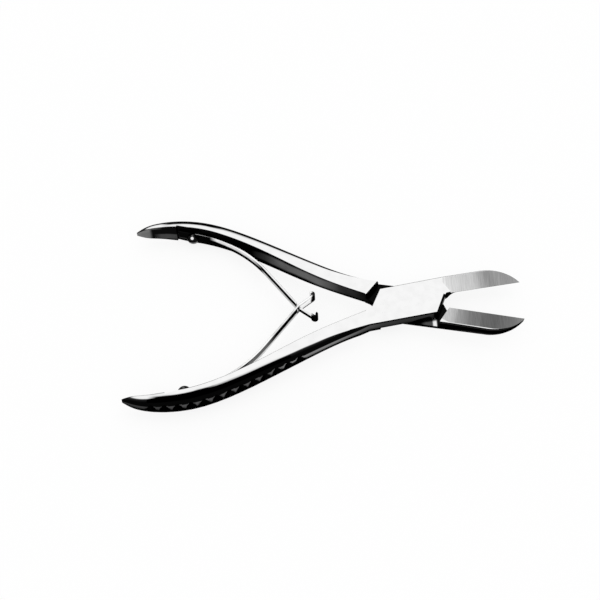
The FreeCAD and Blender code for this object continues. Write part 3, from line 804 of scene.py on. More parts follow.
# Painted reflected light on the handles' flat inner sides: grey streaks along them.
INNER_LIGHT_BANDS = (
    LightBand(((0.445, 0.0), (0.50, 0.03), (0.56, 0.12), (0.70, 0.14), (0.78, 0.035), (0.86, 0.008),
          (0.91, 0.0)), strip(0.38, 0.72, 0.12, 1.0)),
    LightBand(((0.040, 0.20), (0.055, 0.16), (0.064, 0.0)), ((0.0, 1.0), (1.0, 1.0))),
    LightBand(((0.048, 0.0), (0.060, 0.14), (0.085, 0.08), (0.105, 0.0)), ((0.74, 0.0), (0.82, 1.0))),
    LightBand(strip(0.100, 0.205, 0.03, 0.055), strip(0.20, 0.42, 0.06, 1.0)),
)
# Painted highlight along the top edge of each leaf.
LEAF_TOP_HIGHLIGHT = ((0.225, 0.0), (0.237, 0.60), (0.270, 0.45), (0.290, 0.12), (0.310, 0.90),
            (0.672, 0.90), (0.680, 0.0))
# The lap face shows between the levers, with a painted reflection on its top: way along X from
# LAP_REACH behind the pivot.
LAP_REACH = 0.030
LAP_TOP_REFLECTION = ((0.000, 0.0), (0.640, 0.0), (0.670, 0.07), (0.722, 0.07), (0.730, 0.85),
           (0.750, 0.85), (0.757, 0.0))
# Painted reflected light on the tongue leaf's sides.
TONGUE_LIGHT_BANDS = (
    LightBand(((0.290, 0.0), (0.315, 0.9), (0.455, 0.9), (0.490, 0.0)), HIGH_ZONE),
    LightBand(strip(0.500, 0.618, 0.015, 0.9), LOW_ZONE),
)
# Painted reflected light on the window leaf's sides.
WINDOW_LIGHT_BANDS = (
    LightBand(((0.0, 0.9), (0.618, 0.9), (0.625, 0.0)), ((0.36, 1.0), (0.42, 1.0), (0.46, 0.0))),
    LightBand(strip(0.450, 0.510, 0.04, 0.18), strip(0.46, 0.70, 0.03, 1.0)),
    LightBand(strip(0.632, 0.672, 0.004, 0.9), HIGH_ZONE),
)


@dataclass(frozen=True)
class Joint:
    """Sizes of the lapped joint, in each lever's own half frame."""

    half_open: float = 10.8
    thick: float = 6.4
    lap_clearance: float = 0.05
    outer: float = 9.4
    side: float = 8.9
    corner: float = 6.9
    heel: float = 12.9
    heel_rise: float = 0.5
    heel_round: float = 3.0
    heel_steps: int = 6
    rear_shoulder: float = 16.35
    rear_tilt: float = 26.0
    heel_slope_start: float = 28.0
    heel_slope_rise: float = 2.1
    heel_slope_foot: float = 0.2625
    front_shoulder: float = 21.4
    front_tilt: float = 19.8
    reach: float = 15.5
    pivot_bore: float = 2.54
    head_bore: float = 4.24
    head_depth: float = 1.54
    bore_steps: int = 64

    @property
    def drop(self) -> Matrix:
        """Move from the top face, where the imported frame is, down to the lap plane."""
        return Matrix.Translation((0, 0, -self.thick / 2 * MM))


@dataclass(frozen=True)
class Blade:
    """Sizes of a blade."""

    mouth_root: float = 20.6
    mouth_tilt: float = 30.8
    mouth_round: float = 1.0
    mouth_steps: int = 5
    mouth_break: float = 0.9
    back: float = 9.4
    belly_start: float = 38.5
    tip: float = 54.3
    taper_start: float = 30.0
    taper_angle: float = 7.5
    fall_start: float = 22.0
    fall_angle: float = 2.6
    grind_angle: float = 6.0
    grind_strip: float = 1.9
    grind_start: float = 1.3
    bevel_angle: float = 39.0
    bevel_start: float = 25.5
    bevel_wheel: float = 5.0
    bevel_steps: int = 8
    edge_land: float = 0.12
    back_round: float = 0.7
    back_steps: int = 4
    under_round: float = 2.5
    under_steps: int = 6
    belly_steps: int = 28
    belly_excess: float = 0.06


@dataclass(frozen=True)
class Handle:
    """Sections of a handle: way behind the pivot, inner side, flat, bulge, thickness."""

    sections: tuple[tuple[float, float, float, float, float], ...] = (
        (16.0, 1.6, 7.8, 0.9, 6.4),
        (27.0, 4.3, 6.5, 2.0, 6.6),
        (44.0, 9.6, 4.7, 3.75, 7.8),
        (62.0, 16.7, 3.0, 4.6, 9.3),
        (80.0, 22.9, 2.1, 5.0, 10.1),
        (96.0, 26.0, 1.6, 5.15, 10.4),
        (108.0, 25.9, 1.4, 4.7, 9.6),
        (117.0, 24.7, 1.2, 3.7, 7.6),
        (123.0, 23.3, 0.8, 2.2, 4.8),
        (125.8, 22.75, 0.4, 0.7, 1.7),
    )
    ring_step: float = 1.6
    ring_crowding: float = 0.12
    slope_step: float = 0.05
    back_steps: int = 24
    flat_steps: int = 4
    corner_round: float = 0.35
    corner_steps: int = 3
    inner_steps: int = 6

    def slopes(self, column: int) -> list[float]:
        """Slopes of the natural spline through one column of the sections.

        Args:
            column: which size of the sections.

        Returns:
            The slope at each section.
        """
        rows = self.sections
        count = len(rows)
        lower, middle, upper, right = ([0.0] * count for _ in range(4))
        for index in range(count - 1):
            step = rows[index + 1][0] - rows[index][0]
            rise = rows[index + 1][column] - rows[index][column]
            upper[index] = lower[index + 1] = 1 / step
            for end in (index, index + 1):
                middle[end] += 2 / step
                right[end] += 3 * rise / step ** 2
        for index in range(1, count):
            share = lower[index] / middle[index - 1]
            middle[index] -= share * upper[index - 1]
            right[index] -= share * right[index - 1]
        found = [0.0] * count
        found[-1] = right[-1] / middle[-1]
        for index in range(count - 2, -1, -1):
            found[index] = (right[index] - upper[index] * found[index + 1]) / middle[index]
        return found

    def section_at(self, along: float) -> list[float]:
        """Sizes of the handle's section at one place.

        Args:
            along: way behind the pivot.

        Returns:
            Inner side, flat, bulge and thickness there.
        """
        rows = self.sections
        index = max(0, min(len(rows) - 2, sum(along > row[0] for row in rows) - 1))
        first, second = rows[index], rows[index + 1]
        step = second[0] - first[0]
        share = (along - first[0]) / step
        sizes = []
        for column in range(1, len(first)):
            slopes = self.slopes(column)
            near, far = slopes[index] * step, slopes[index + 1] * step
            start, end = first[column], second[column]
            sizes.append(start + share * near + share ** 2 * (3 * (end - start) - 2 * near - far)
                         + share ** 3 * (near + far - 2 * (end - start)))
        return sizes

    def ring(self, x: float, sizes: Sequence[float]) -> list[Vector]:
        """Outline of one section, its inner corners rounded.

        Args:
            x: place of the section.
            sizes: inner side, flat, bulge and thickness.

        Returns:
            The points, in order.
        """
        inner, flat, bulge, thick = sizes
        half = thick / 2
        radius = (half ** 2 + bulge ** 2) / (2 * bulge)
        top = inner + flat
        turn = 2 * math.atan(2 * bulge / thick)
        corner = min(self.corner_round, flat / 2, half / 2)
        points: list[Point2] = []
        for step in range(1, self.back_steps):
            lean = turn * (1 - 2 * step / self.back_steps)
            points.append((top + bulge - radius * (1 - math.cos(lean)), radius * math.sin(lean)))
        low = [(top - (top - inner - corner) * step / self.flat_steps, -half)
               for step in range(self.flat_steps)]
        for step in range(self.corner_steps + 1):
            lean = math.radians(90) * step / self.corner_steps
            low.append((inner + corner - corner * math.sin(lean),
                        corner - half - corner * math.cos(lean)))
        side = [(inner, (2 * step / self.inner_steps - 1) * (half - corner))
                for step in range(1, self.inner_steps)]
        high = [(y, -z) for y, z in reversed(low)]
        return [Vector((x, y, z)) for y, z in points + low + side + high]

    def back_point(self, along: float) -> Vector:
        """Point of the back's middle line, in plan."""
        inner, flat, bulge, _ = self.section_at(along)
        return Vector((-along, inner + flat + bulge))

    def back_way(self, along: float) -> Vector:
        """Way ahead along the back's middle line, in plan."""
        step = self.slope_step
        return (self.back_point(along - step) - self.back_point(along + step)).normalized()

    def inner_rise(self, along: float) -> float:
        """Slope of the inner side against the half frame's X.

        Args:
            along: way behind the pivot.

        Returns:
            The slope.
        """
        step = self.slope_step
        rise = self.section_at(along + step)[0] - self.section_at(along - step)[0]
        return rise / (2 * step)


@dataclass(frozen=True)
class Grooves:
    """Vee grooves across the handle's back."""

    count: int = 13
    start: float = 13.4
    pitch: float = 5.62
    width: float = 4.7
    depth: float = 0.90
    measure_step: float = 0.02


@dataclass(frozen=True)
class Seat:
    """Milled seat of the leaf spring on the handle's inner side, at its screw."""

    along: float = 99.4
    sink: float = 0.05
    lean: float = 4.0
    rear: float = 8.2
    front: float = 4.4
    hole: float = 1.35
    hole_depth: float = 4.2
    hole_steps: int = 24


class Half(Enum):
    """The two halves of the forceps, by the CAD body that each one is."""

    UNDER = "under_half"
    OVER = "over_half"

    @property
    def up(self) -> int:
        """Side of the half frame that lies on top, as a sign of Z."""
        return 1 if self is Half.UNDER else -1

    @property
    def other(self) -> "Half":
        """The half that this one is hinged to."""
        return Half.OVER if self is Half.UNDER else Half.UNDER

    def place(self, joint: Joint) -> Matrix:
        """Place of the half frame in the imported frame, in metres.

        Args:
            joint: sizes of the joint.

        Returns:
            The place.
        """
        turn = math.radians(joint.half_open)
        if self is Half.UNDER:
            return joint.drop @ Matrix.Rotation(-turn, 4, "Z") @ Matrix.Scale(MM, 4)
        axis = Vector((math.cos(turn / 2), math.sin(turn / 2), 0))
        return joint.drop @ Matrix.Rotation(math.pi, 4, axis) @ Matrix.Scale(MM, 4)


@dataclass
class Lever:
    """One lever: handle, half of the lapped joint and blade."""

    name: str
    node: str
    half: Half
    # Finishes whose colour holds painted reflection, painted highlight and painted shade.
    painted_reflection: bpy.types.Material
    inner: bpy.types.Material
    ground: bpy.types.Material
    dark: bpy.types.Material
    lap: bpy.types.Material
    joint: Joint = field(default_factory=Joint)
    blade: Blade = field(default_factory=Blade)
    handle: Handle = field(default_factory=Handle)
    grooves: Grooves = field(default_factory=Grooves)
    seat: Seat = field(default_factory=Seat)
    overrun: float = 10.0
    drill_start: float = 1.0
    level_slope: float = 0.1
    smooth_angle: float = 32.0
    inner_facing: float = 0.85

    def build(self) -> bpy.types.Object:
        """Model the lever, cut it to shape and put it in its place.

        Returns:
            The finished piece.
        """
        piece = self.make_handle()
        piece.data.materials.append(self.painted_reflection)
        Bench.work(piece, self.make_plate(), Cut.JOIN, self.painted_reflection)
        self.cut_mouth(piece)
        self.cut_slopes(piece)
        self.cut_heel(piece)
        Bench.heal(piece)
        Bench.bevel(piece, self.is_top_back, self.blade.back_round, self.blade.back_steps)
        self.grind(piece)
        self.cut_recess(piece)
        self.break_mouth_edge(piece)
        self.cut_grooves(piece)
        self.cut_seat(piece)
        self.cut_pivot(piece)
        Bench.dress(piece, self.inner, self.is_inner_side)
        Bench.settle(piece, self.half.place(self.joint))
        Bench.smooth(piece, self.smooth_angle)
        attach(piece, self.half.value)
        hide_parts(self.node)
        return piece

    def is_inner_side(self, middle: Vector, normal: Vector) -> bool:
        """Whether a face lies on the flat inner side of the handle."""
        return middle.x < -self.joint.heel and normal.y < -self.inner_facing

    def make_handle(self) -> bpy.types.Object:
        """Straight bar over the joint, and the curved handle behind it.

        Returns:
            The closed piece.
        """
        handle, start = self.handle, self.handle.sections[0][0]
        end = handle.sections[-1][0]
        sizes = handle.section_at(start)
        rings = [handle.ring(self.joint.reach, sizes), handle.ring(-start / 2, sizes)]
        count = round((end - start) / handle.ring_step)
        for step in range(count + 1):
            share = step / count
            share += handle.ring_crowding * math.sin(math.pi * share) * share
            along = start + (end - start) * share
            rings.append(handle.ring(-along, handle.section_at(along)))
        return Bench.skin(self.name, rings)

    def make_plate(self) -> bpy.types.Object:
        """Plate of the joint and blade in one outline, its back rounded.

        Returns:
            The closed piece.
        """
        joint, blade = self.joint, self.blade
        reach = blade.tip - blade.belly_start
        radius = (reach ** 2 + blade.back ** 2) / (2 * blade.back)
        low = -math.pi / 2
        end = math.asin((blade.back - radius) / radius) + blade.belly_excess
        belly = []
        for step in range(blade.belly_steps + 1):
            lean = low + (end - low) * step / blade.belly_steps
            belly.append((blade.belly_start + radius * math.cos(lean),
                          radius - blade.back + radius * math.sin(lean)))
        rear, inner = -self.handle.sections[0][0], self.handle.sections[0][1]
        corners = [(-joint.corner, -joint.side)] + belly + [
            (joint.reach, joint.outer), (rear, joint.outer), (rear, inner),
            (-joint.heel, joint.heel_rise)]
        outline = Bench.rounded(corners, {len(corners) - 1: joint.heel_round}, joint.heel_steps)
        half = joint.thick / 2
        plate = Bench.plate(f"{self.name}_plate", outline, -half, half)
        Bench.bevel(plate, self.is_under_back, blade.under_round, blade.under_steps)
        return plate

    def is_under_back(self, one: Vector, two: Vector) -> bool:
        """Whether an edge of the plate lies along the back or the belly, underneath.

        Args:
            one: the edge's first end.
            two: its second end.

        Returns:
            Whether it does.
        """
        middle = (one + two) / 2
        level = abs(one.z - two.z) < Bench.SAME
        along_back = middle.y < -self.joint.side or middle.x > self.blade.belly_start
        return level and middle.z * self.half.up < 0 and along_back

    def is_top_back(self, one: Vector, two: Vector) -> bool:
        """Whether an edge lies along the back on top, beside the plate or the blade.

        Args:
            one: the edge's first end.
            two: its second end.

        Returns:
            Whether it does.
        """
        middle, way = (one + two) / 2, two - one
        level = abs(way.z) < self.level_slope * way.length
        high = middle.z * self.half.up > self.joint.thick / 4
        return level and high and middle.x > 0 and middle.y < -self.blade.edge_land

    @staticmethod
    def line(foot: float, tilt: float, height: float) -> Point2:
        """Point at a height on a line that leans by tilt and crosses Y = 0 at foot."""
        return foot + height * math.tan(math.radians(tilt)), height

    def cut_mouth(self, piece: bpy.types.Object) -> None:
        """Open the mouth in front of the plate, down to the cutting edge.

        Args:
            piece: the lever.
        """
        blade, joint = self.blade, self.joint
        far, high = blade.tip + self.overrun, joint.outer + self.overrun
        corners = [(blade.mouth_root, 0.0), (far, 0.0), (far, high),
                   self.line(blade.mouth_root, -blade.mouth_tilt, high)]
        outline = Bench.rounded(corners, {0: blade.mouth_round}, blade.mouth_steps)
        tool = Bench.plate("mouth", outline, -joint.thick, joint.thick)
        Bench.work(piece, tool, Cut.AWAY, self.dark)

    def break_mouth_edge(self, piece: bpy.types.Object) -> None:
        """Break the top edge of the over lever's plate behind the mouth.

        Args:
            piece: the lever.
        """
        if self.half is Half.UNDER:
            return
        blade, joint, up = self.blade, self.joint, self.half.up
        tilt = math.radians(blade.mouth_tilt)
        along = Vector((-math.sin(tilt), math.cos(tilt), 0))
        ahead = Vector((math.cos(tilt), math.sin(tilt), 0))
        down = (ahead - Vector((0, 0, up))).normalized()
        off = along.cross(down)
        foot = Vector((blade.mouth_root, 0, up * joint.thick / 2)) - ahead * blade.mouth_break
        place = Matrix((along, down, off)).transposed().to_4x4()
        place.translation = foot
        reach = joint.outer + self.overrun
        outline = Bench.oblong(blade.mouth_round, -reach, reach, reach)
        sign = 1 if off.z * up > 0 else -1
        tool = Bench.plate("break", outline, 0.0, sign * self.overrun, place)
        Bench.work(piece, tool, Cut.AWAY, self.dark)

    def cut_slopes(self, piece: bpy.types.Object) -> None:
        """Slope the blade's underside up and its top down towards the tip.

        Args:
            piece: the lever.
        """
        blade, half = self.blade, self.joint.thick / 2
        far, beyond = blade.tip + self.overrun, half + self.overrun
        up = self.half.up
        for side, start, angle in ((-up, blade.taper_start, blade.taper_angle),
                                   (up, blade.fall_start, blade.fall_angle)):
            drop = (far - start) * math.tan(math.radians(angle))
            outline = [(start, side * half), (far, side * (half - drop)),
                       (far, side * beyond), (start, side * beyond)]
            tool = Bench.plate("slope", outline, -2 * blade.back, 2 * blade.back, STANDING)
            Bench.work(piece, tool, Cut.AWAY, self.painted_reflection)

    def cut_heel(self, piece: bpy.types.Object) -> None:
        """Let the over lever's underside rise behind the joint.

        Args:
            piece: the lever.
        """
        if self.half is Half.UNDER:
            return
        joint, down, half = self.joint, -self.half.up, self.joint.thick / 2
        start, rear, end = -joint.heel_slope_start, -joint.rear_shoulder, -joint.corner
        low, high = down * (half + joint.heel_slope_foot), down * (half - joint.heel_slope_rise)
        beyond = down * self.overrun
        outline = [(start, low), (rear, high), (end, high), (end, beyond), (start, beyond)]
        tool = Bench.plate("heel", outline, -2 * joint.outer, 2 * joint.outer, STANDING)
        Bench.work(piece, tool, Cut.AWAY, self.painted_reflection)

    def tilted(self, x: float, y: float, z: float, roll: float) -> Matrix:
        """Drawing plane on the falling top of the blade, rolled about its length.

        Args:
            x: place of its origin along the blade.
            y: place across the blade.
            z: height over the lap plane, towards the top.
            roll: roll in degrees.

        Returns:
            The plane's place.
        """
        up = self.half.up
        return (Matrix.Translation((x, y, up * z))
                @ Matrix.Rotation(up * math.radians(self.blade.fall_angle), 4, "Y")
                @ Matrix.Rotation(-up * math.radians(roll), 4, "X"))

    def grind(self, piece: bpy.types.Object) -> None:
        """Grind the flat face across the blade and the bevel under its edge.

        Args:
            piece: the lever.
        """
        blade, half = self.blade, self.joint.thick / 2
        strip = blade.back - blade.grind_strip
        tilt = self.joint.front_tilt
        foot = (self.joint.front_shoulder + blade.grind_start - blade.fall_start
                - strip * math.tan(math.radians(tilt)))
        far, low, high = blade.tip, -self.overrun, 2 * blade.back
        outline = [self.line(foot, tilt, low), (far, low), (far, high),
                   self.line(foot, tilt, high)]
        face = Bench.plate("face", outline, 0, self.half.up * self.overrun,
                           self.tilted(blade.fall_start, -strip, half, blade.grind_angle))
        Bench.work(piece, face, Cut.AWAY, self.ground)
        fall = (blade.bevel_start - blade.fall_start) * math.tan(math.radians(blade.fall_angle))
        edge = half - strip * math.tan(math.radians(blade.grind_angle)) - fall - blade.edge_land
        wheel, steps = blade.bevel_wheel, blade.bevel_steps
        deep = self.joint.thick * math.sin(math.radians(blade.bevel_angle))
        lean = math.acos((wheel - deep) / wheel)
        runout = [(-wheel * math.sin(lean * step / steps),
                   wheel - wheel * math.cos(lean * step / steps)) for step in range(steps, 0, -1)]
        outline = [(0.0, 0.0), (far, 0.0), (far, deep)] + runout
        bevel = Bench.plate("bevel", outline, -2 * blade.back, 2 * blade.back,
                            self.tilted(blade.bevel_start, 0, edge, blade.bevel_angle))
        Bench.work(piece, bevel, Cut.AWAY, self.ground)

    def cut_recess(self, piece: bpy.types.Object) -> None:
        """Halve the joint between its two shoulders.

        Args:
            piece: the lever.
        """
        joint = self.joint
        high, low = joint.outer + self.overrun, -(joint.side + self.overrun)
        rear, front = -joint.rear_shoulder, joint.front_shoulder
        outline = [self.line(rear, joint.rear_tilt, low), self.line(front, joint.front_tilt, low),
                   self.line(front, joint.front_tilt, high), self.line(rear, joint.rear_tilt, high)]
        tool = Bench.plate("recess", outline, -joint.lap_clearance / 2, joint.thick)
        Bench.work(piece, tool, Cut.AWAY, self.lap)

    def cut_grooves(self, piece: bpy.types.Object) -> None:
        """Cut vee grooves square to the back, evenly spaced along it.

        Args:
            piece: the lever.
        """
        grooves, handle = self.grooves, self.handle
        along, travelled = handle.sections[-1][0], 0.0
        here = handle.back_point(along)
        for index in range(grooves.count):
            while travelled < grooves.start + index * grooves.pitch:
                along -= grooves.measure_step
                there = handle.back_point(along)
                travelled += (there - here).length
                here = there
            ahead = handle.back_way(along)
            outward = to_left(ahead)
            # The tool stands out of the back by the groove's depth, so it is twice as wide there.
            foot = here - outward * grooves.depth
            top = here + outward * grooves.depth
            outline = [tuple(foot), tuple(top + ahead * grooves.width),
                       tuple(top - ahead * grooves.width)]
            tool = Bench.plate("groove", outline, -self.overrun, self.overrun)
            Bench.work(piece, tool, Cut.AWAY, self.dark)

    def seat_frame(self) -> tuple[Vector, Vector, Vector]:
        """Spring screw's foot on the seat, the way ahead along it and the way off it.

        Returns:
            The foot, the way ahead and the way off, in plan.
        """
        seat = self.seat
        tilt = math.atan(self.handle.inner_rise(seat.along)) + math.radians(seat.lean)
        foot = Vector((-seat.along, self.handle.section_at(seat.along)[0] + seat.sink))
        ahead = Vector((math.cos(tilt), -math.sin(tilt)))
        return foot, ahead, -to_left(ahead)

    def cut_seat(self, piece: bpy.types.Object) -> None:
        """Mill the flat for the leaf and drill the hole for its screw.

        Args:
            piece: the lever.
        """
        seat = self.seat
        foot, ahead, away = self.seat_frame()
        rear, front = foot - ahead * seat.rear, foot + ahead * seat.front
        outline = [tuple(rear), tuple(front), tuple(front + away * self.overrun),
                   tuple(rear + away * self.overrun)]
        tool = Bench.plate("seat", outline, -self.overrun, self.overrun)
        Bench.work(piece, tool, Cut.AWAY, self.inner)
        hole = Bench.turned("hole", [
            (0.0, -seat.hole_depth), (seat.hole, -seat.hole_depth), (seat.hole, self.drill_start),
            (0.0, self.drill_start)], seat.hole_steps)
        Bench.settle(hole, screw_place(foot, away))
        Bench.work(piece, hole, Cut.AWAY, self.dark)

    def cut_pivot(self, piece: bpy.types.Object) -> None:
        """Bore the running hole of the pivot screw and sink its head, in the under lever.

        Args:
            piece: the lever.
        """
        if self.half is Half.OVER:
            return
        joint = self.joint
        low = -joint.thick / 2
        shoulder, start = joint.head_depth + low, low - self.drill_start
        bore = Bench.turned("bore", [
            (0.0, start), (joint.head_bore, start), (joint.head_bore, shoulder),
            (joint.pivot_bore, shoulder), (joint.pivot_bore, self.drill_start),
            (0.0, self.drill_start)], joint.bore_steps)
        Bench.work(piece, bore, Cut.AWAY, self.dark)


def to_left(way: Vector) -> Vector:
    """A way in plan turned a quarter to the left."""
    return Vector((-way.y, way.x))


def screw_place(foot: Vector, away: Vector) -> Matrix:
    """Half-frame place of a screw that stands on a foot and points away from it.

    Args:
        foot: where the screw's head rests, in plan.
        away: way off the seat, in plan.

    Returns:
        The place.
    """
    turn = math.atan2(away.y, away.x)
    return (Matrix.Translation((foot.x, foot.y, 0)) @ Matrix.Rotation(turn, 4, "Z")
            @ Matrix.Rotation(math.pi / 2, 4, "Y"))


def swung(spoke: Vector, angle: float) -> Vector:
    """A vector in plan turned to the left by an angle in radians."""
    return Vector((spoke.x * math.cos(angle) - spoke.y * math.sin(angle),
                   spoke.x * math.sin(angle) + spoke.y * math.cos(angle)))


def touch(centre: Vector, radius: float, target: Vector, side: int) -> Vector:
    """Point where a line from a circle to a target leaves the circle.

    Args:
        centre: middle of the circle.
        radius: its radius.
        target: where the line ends.
        side: +1 where the path turns left round the circle, -1 where it turns right.

    Returns:
        The point.
    """
    reach = target - centre
    spread = math.acos(radius / reach.length)
    angle = math.atan2(reach.y, reach.x) - side * spread
    return centre + Vector((math.cos(angle), math.sin(angle))) * radius


@dataclass
class Leaf:
    """Leaf spring: screwed to a handle, bent to the middle and hooked to the other leaf."""

    name: str
    node: str
    lever: Lever
    has_window: bool
    # Its finish has painted reflected light on the sides and a painted highlight along the top
    # edge.
    finish: bpy.types.Material
    dark: bpy.types.Material
    thick: float = 1.0
    width: float = 4.2
    corner: float = 0.28
    corner_steps: int = 3
    rear: float = 7.2
    front: float = 2.6
    straight: float = 26.2
    crossing: float = 44.8
    kink: float = 3.2
    tail_reach: float = 7.4
    tail_drop: float = 4.3
    lip: float = 0.95
    lip_turn: float = 195.0
    seat_steps: int = 4
    bend_steps: int = 14
    arm_steps: int = 6
    kink_steps: int = 6
    tail_steps: int = 4
    lip_steps: int = 18
    window_width: float = 2.5
    window_lead: float = 0.95
    window_land: float = 1.1
    tongue_width: float = 2.0
    tongue_lead: float = 1.1
    tongue_land: float = 1.0
    smooth_angle: float = 40.0

    def build(self) -> bpy.types.Object:
        """Sweep the strip, cut its window or tongue and put it in its place.

        Returns:
            The finished piece.
        """
        piece = Bench.skin(self.name, [self.ring(*stop) for stop in self.middle_line()])
        piece.data.materials.append(self.finish)
        if self.has_window:
            wide = self.window_width / 2
            self.cut(piece, -wide, wide, self.window_lead, self.window_land)
        else:
            wide = self.tongue_width / 2
            for low, high in ((-self.width, -wide), (wide, self.width)):
                self.cut(piece, low, high, self.tongue_lead, self.tongue_land)
        half = self.lever.half
        place = half.place(self.lever.joint)
        Bench.settle(piece, place)
        Bench.smooth(piece, self.smooth_angle)
        foot, ahead, _ = self.lever.seat_frame()
        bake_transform(piece)
        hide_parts(self.node)
        return piece

    def crossing_point(self) -> Vector:
        """Point of the forceps' middle line where the leaves cross, in plan."""
        turn = math.radians(self.lever.joint.half_open)
        return Vector((-self.crossing * math.cos(turn), -self.crossing * math.sin(turn)))

    def middle_line(self) -> list[tuple[Vector, Vector]]:
        """Points of the strip's middle line, each with the way ahead there.

        Returns:
            The points and the way ahead at each.
        """
        foot, ahead, away = self.lever.seat_frame()
        rear = foot - ahead * self.rear + away * self.thick / 2
        front = foot + ahead * self.front + away * self.thick / 2
        cross = self.crossing_point()
        tail = cross + Vector((self.tail_reach, -self.tail_drop))
        span, inward = cross - front, -to_left(ahead)
        bend = (span.length_squared - self.straight ** 2) / (2 * span.dot(inward))
        bend_centre = front + inward * bend
        leave = touch(bend_centre, bend, cross, -1)
        kink_centre = cross + to_left((cross - leave).normalized()) * self.kink
        spring = touch(kink_centre, self.kink, tail, 1)
        side = -1 if self.has_window else 1
        lip_centre = tail + to_left((tail - spring).normalized()) * self.lip * side
        bend_turn = self.turn_between(bend_centre, front, leave)
        kink_turn = self.turn_between(kink_centre, cross, spring)
        return (self.straight_run(rear, front, self.seat_steps)
                + self.bent_run(bend_centre, front, bend_turn, self.bend_steps)
                + self.straight_run(leave, cross, self.arm_steps)
                + self.bent_run(kink_centre, cross, kink_turn, self.kink_steps)
                + self.straight_run(spring, tail, self.tail_steps)
                + self.bent_run(lip_centre, tail, side * math.radians(self.lip_turn),
                                self.lip_steps))

    @staticmethod
    def straight_run(start: Vector, end: Vector, steps: int) -> list[tuple[Vector, Vector]]:
        """Points along a straight, without its end."""
        ahead = (end - start).normalized()
        return [(start.lerp(end, step / steps), ahead) for step in range(steps)]

    @staticmethod
    def bent_run(centre: Vector, start: Vector, turn: float,
                 steps: int) -> list[tuple[Vector, Vector]]:
        """Points along an arc, from its start to just before its end.

        Args:
            centre: middle of the arc.
            start: its first point.
            turn: angle in radians, to the left if positive.
            steps: number of points.

        Returns:
            The points and the way ahead at each.
        """
        line = []
        for step in range(steps):
            spoke = swung(start - centre, turn * step / steps)
            ahead = to_left(spoke).normalized() * math.copysign(1.0, turn)
            line.append((centre + spoke, ahead))
        return line

    @staticmethod
    def turn_between(centre: Vector, start: Vector, end: Vector) -> float:
        """Angle in radians from one spoke of a circle to another."""
        one, two = start - centre, end - centre
        return math.atan2(one.x * two.y - one.y * two.x, one.dot(two))

    def ring(self, here: Vector, ahead: Vector) -> list[Vector]:
        """Section of the strip, its corners rounded.

        Args:
            here: middle of the section, in plan.
            ahead: way ahead there.

        Returns:
            The section's points, in order.
        """
        thick, wide = self.thick / 2, self.width / 2
        corners = Bench.oblong(-thick, -wide, thick, wide)
        outline = Bench.rounded(corners, dict.fromkeys(range(4), self.corner), self.corner_steps)
        across = to_left(ahead)
        return [(here + across * off).to_3d() + Vector((0, 0, high)) for off, high in outline]

    def cut(self, piece: bpy.types.Object, low: float, high: float, lead: float,
            land: float) -> None:
        """Cut a stretch of the strip away, from before the crossing to before the lip.

        Args:
            piece: the strip.
            low: lower edge of the cut, in Z.
            high: its upper edge.
            lead: how far before the crossing it starts.
            land: how much it leaves before the lip.
        """
        cross = self.crossing_point().x
        outline = Bench.oblong(cross - lead, low, cross + self.tail_reach - land, high)
        stand = Matrix.Translation((0, -self.crossing, 0)) @ STANDING
        tool = Bench.plate("slit", outline, -self.crossing, self.crossing, stand)
        Bench.work(piece, tool, Cut.AWAY, self.dark)


@dataclass(kw_only=True)
class Screw:
    """What the slotted screws share. Each is turned about Z and then put in its place."""

    name: str
    node: str
    half: Half
    joint: Joint
    # The finish paints the screw head's reflection and glint; the dark one paints shade in the
    # slot.
    finish: bpy.types.Material
    dark: bpy.types.Material
    turn_steps: int
    smooth_angle: float = 30.0

    def turn(self, profile: Sequence[Point2], slot: bpy.types.Object,
             place: Matrix) -> bpy.types.Object:
        """Turn the screw, cut its slot and put it in its place.

        Args:
            profile: radius and height of each point of the turned shape.
            slot: the shape that cuts the slot.
            place: where the screw goes.

        Returns:
            The finished piece.
        """
        piece = Bench.turned(self.name, profile, self.turn_steps)
        piece.data.materials.append(self.finish)
        Bench.work(piece, slot, Cut.AWAY, self.dark)
        Bench.settle(piece, place)
        Bench.smooth(piece, self.smooth_angle)
        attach(piece, self.half.value)
        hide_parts(self.node)
        return piece


@dataclass(kw_only=True)
class SpringScrew(Screw):
    """Domed slotted screw that holds a leaf down on its seat."""

    leaf: Leaf
    turn_steps: int = 48
    head: float = 5.2
    rim: float = 1.8
    dome: float = 1.5
    shank: float = 2.6
    reach: float = 3.6
    edge: float = 0.25
    slot_width: float = 0.7
    slot_depth: float = 0.8
    dome_steps: int = 10

    def build(self) -> bpy.types.Object:
        """Make the screw and stand it on the leaf.

        Returns:
            The finished piece.
        """
        head, shank, low = self.head / 2, self.shank / 2, -(self.reach + self.leaf.thick)
        top, wide = self.rim + self.dome, self.slot_width / 2
        radius = (head ** 2 + self.dome ** 2) / (2 * self.dome)
        lean = math.asin(head / radius)
        profile = [(0.0, low), (shank - self.edge, low), (shank, low + self.edge), (shank, 0.0),
                   (head - self.edge / 2, 0.0), (head, self.edge / 2)]
        for step in range(self.dome_steps):
            angle = lean * (1 - step / self.dome_steps)
            profile.append((radius * math.sin(angle), top - radius * (1 - math.cos(angle))))
        profile.append((0.0, top))
        slot = Bench.plate("screw_slot", Bench.oblong(-wide, -self.head, wide, self.head),
                           top - self.slot_depth, top + self.dome)
        foot, _, away = self.leaf.lever.seat_frame()
        stand = screw_place(foot + away * self.leaf.thick, away)
        return self.turn(profile, slot, self.half.place(self.joint) @ stand)


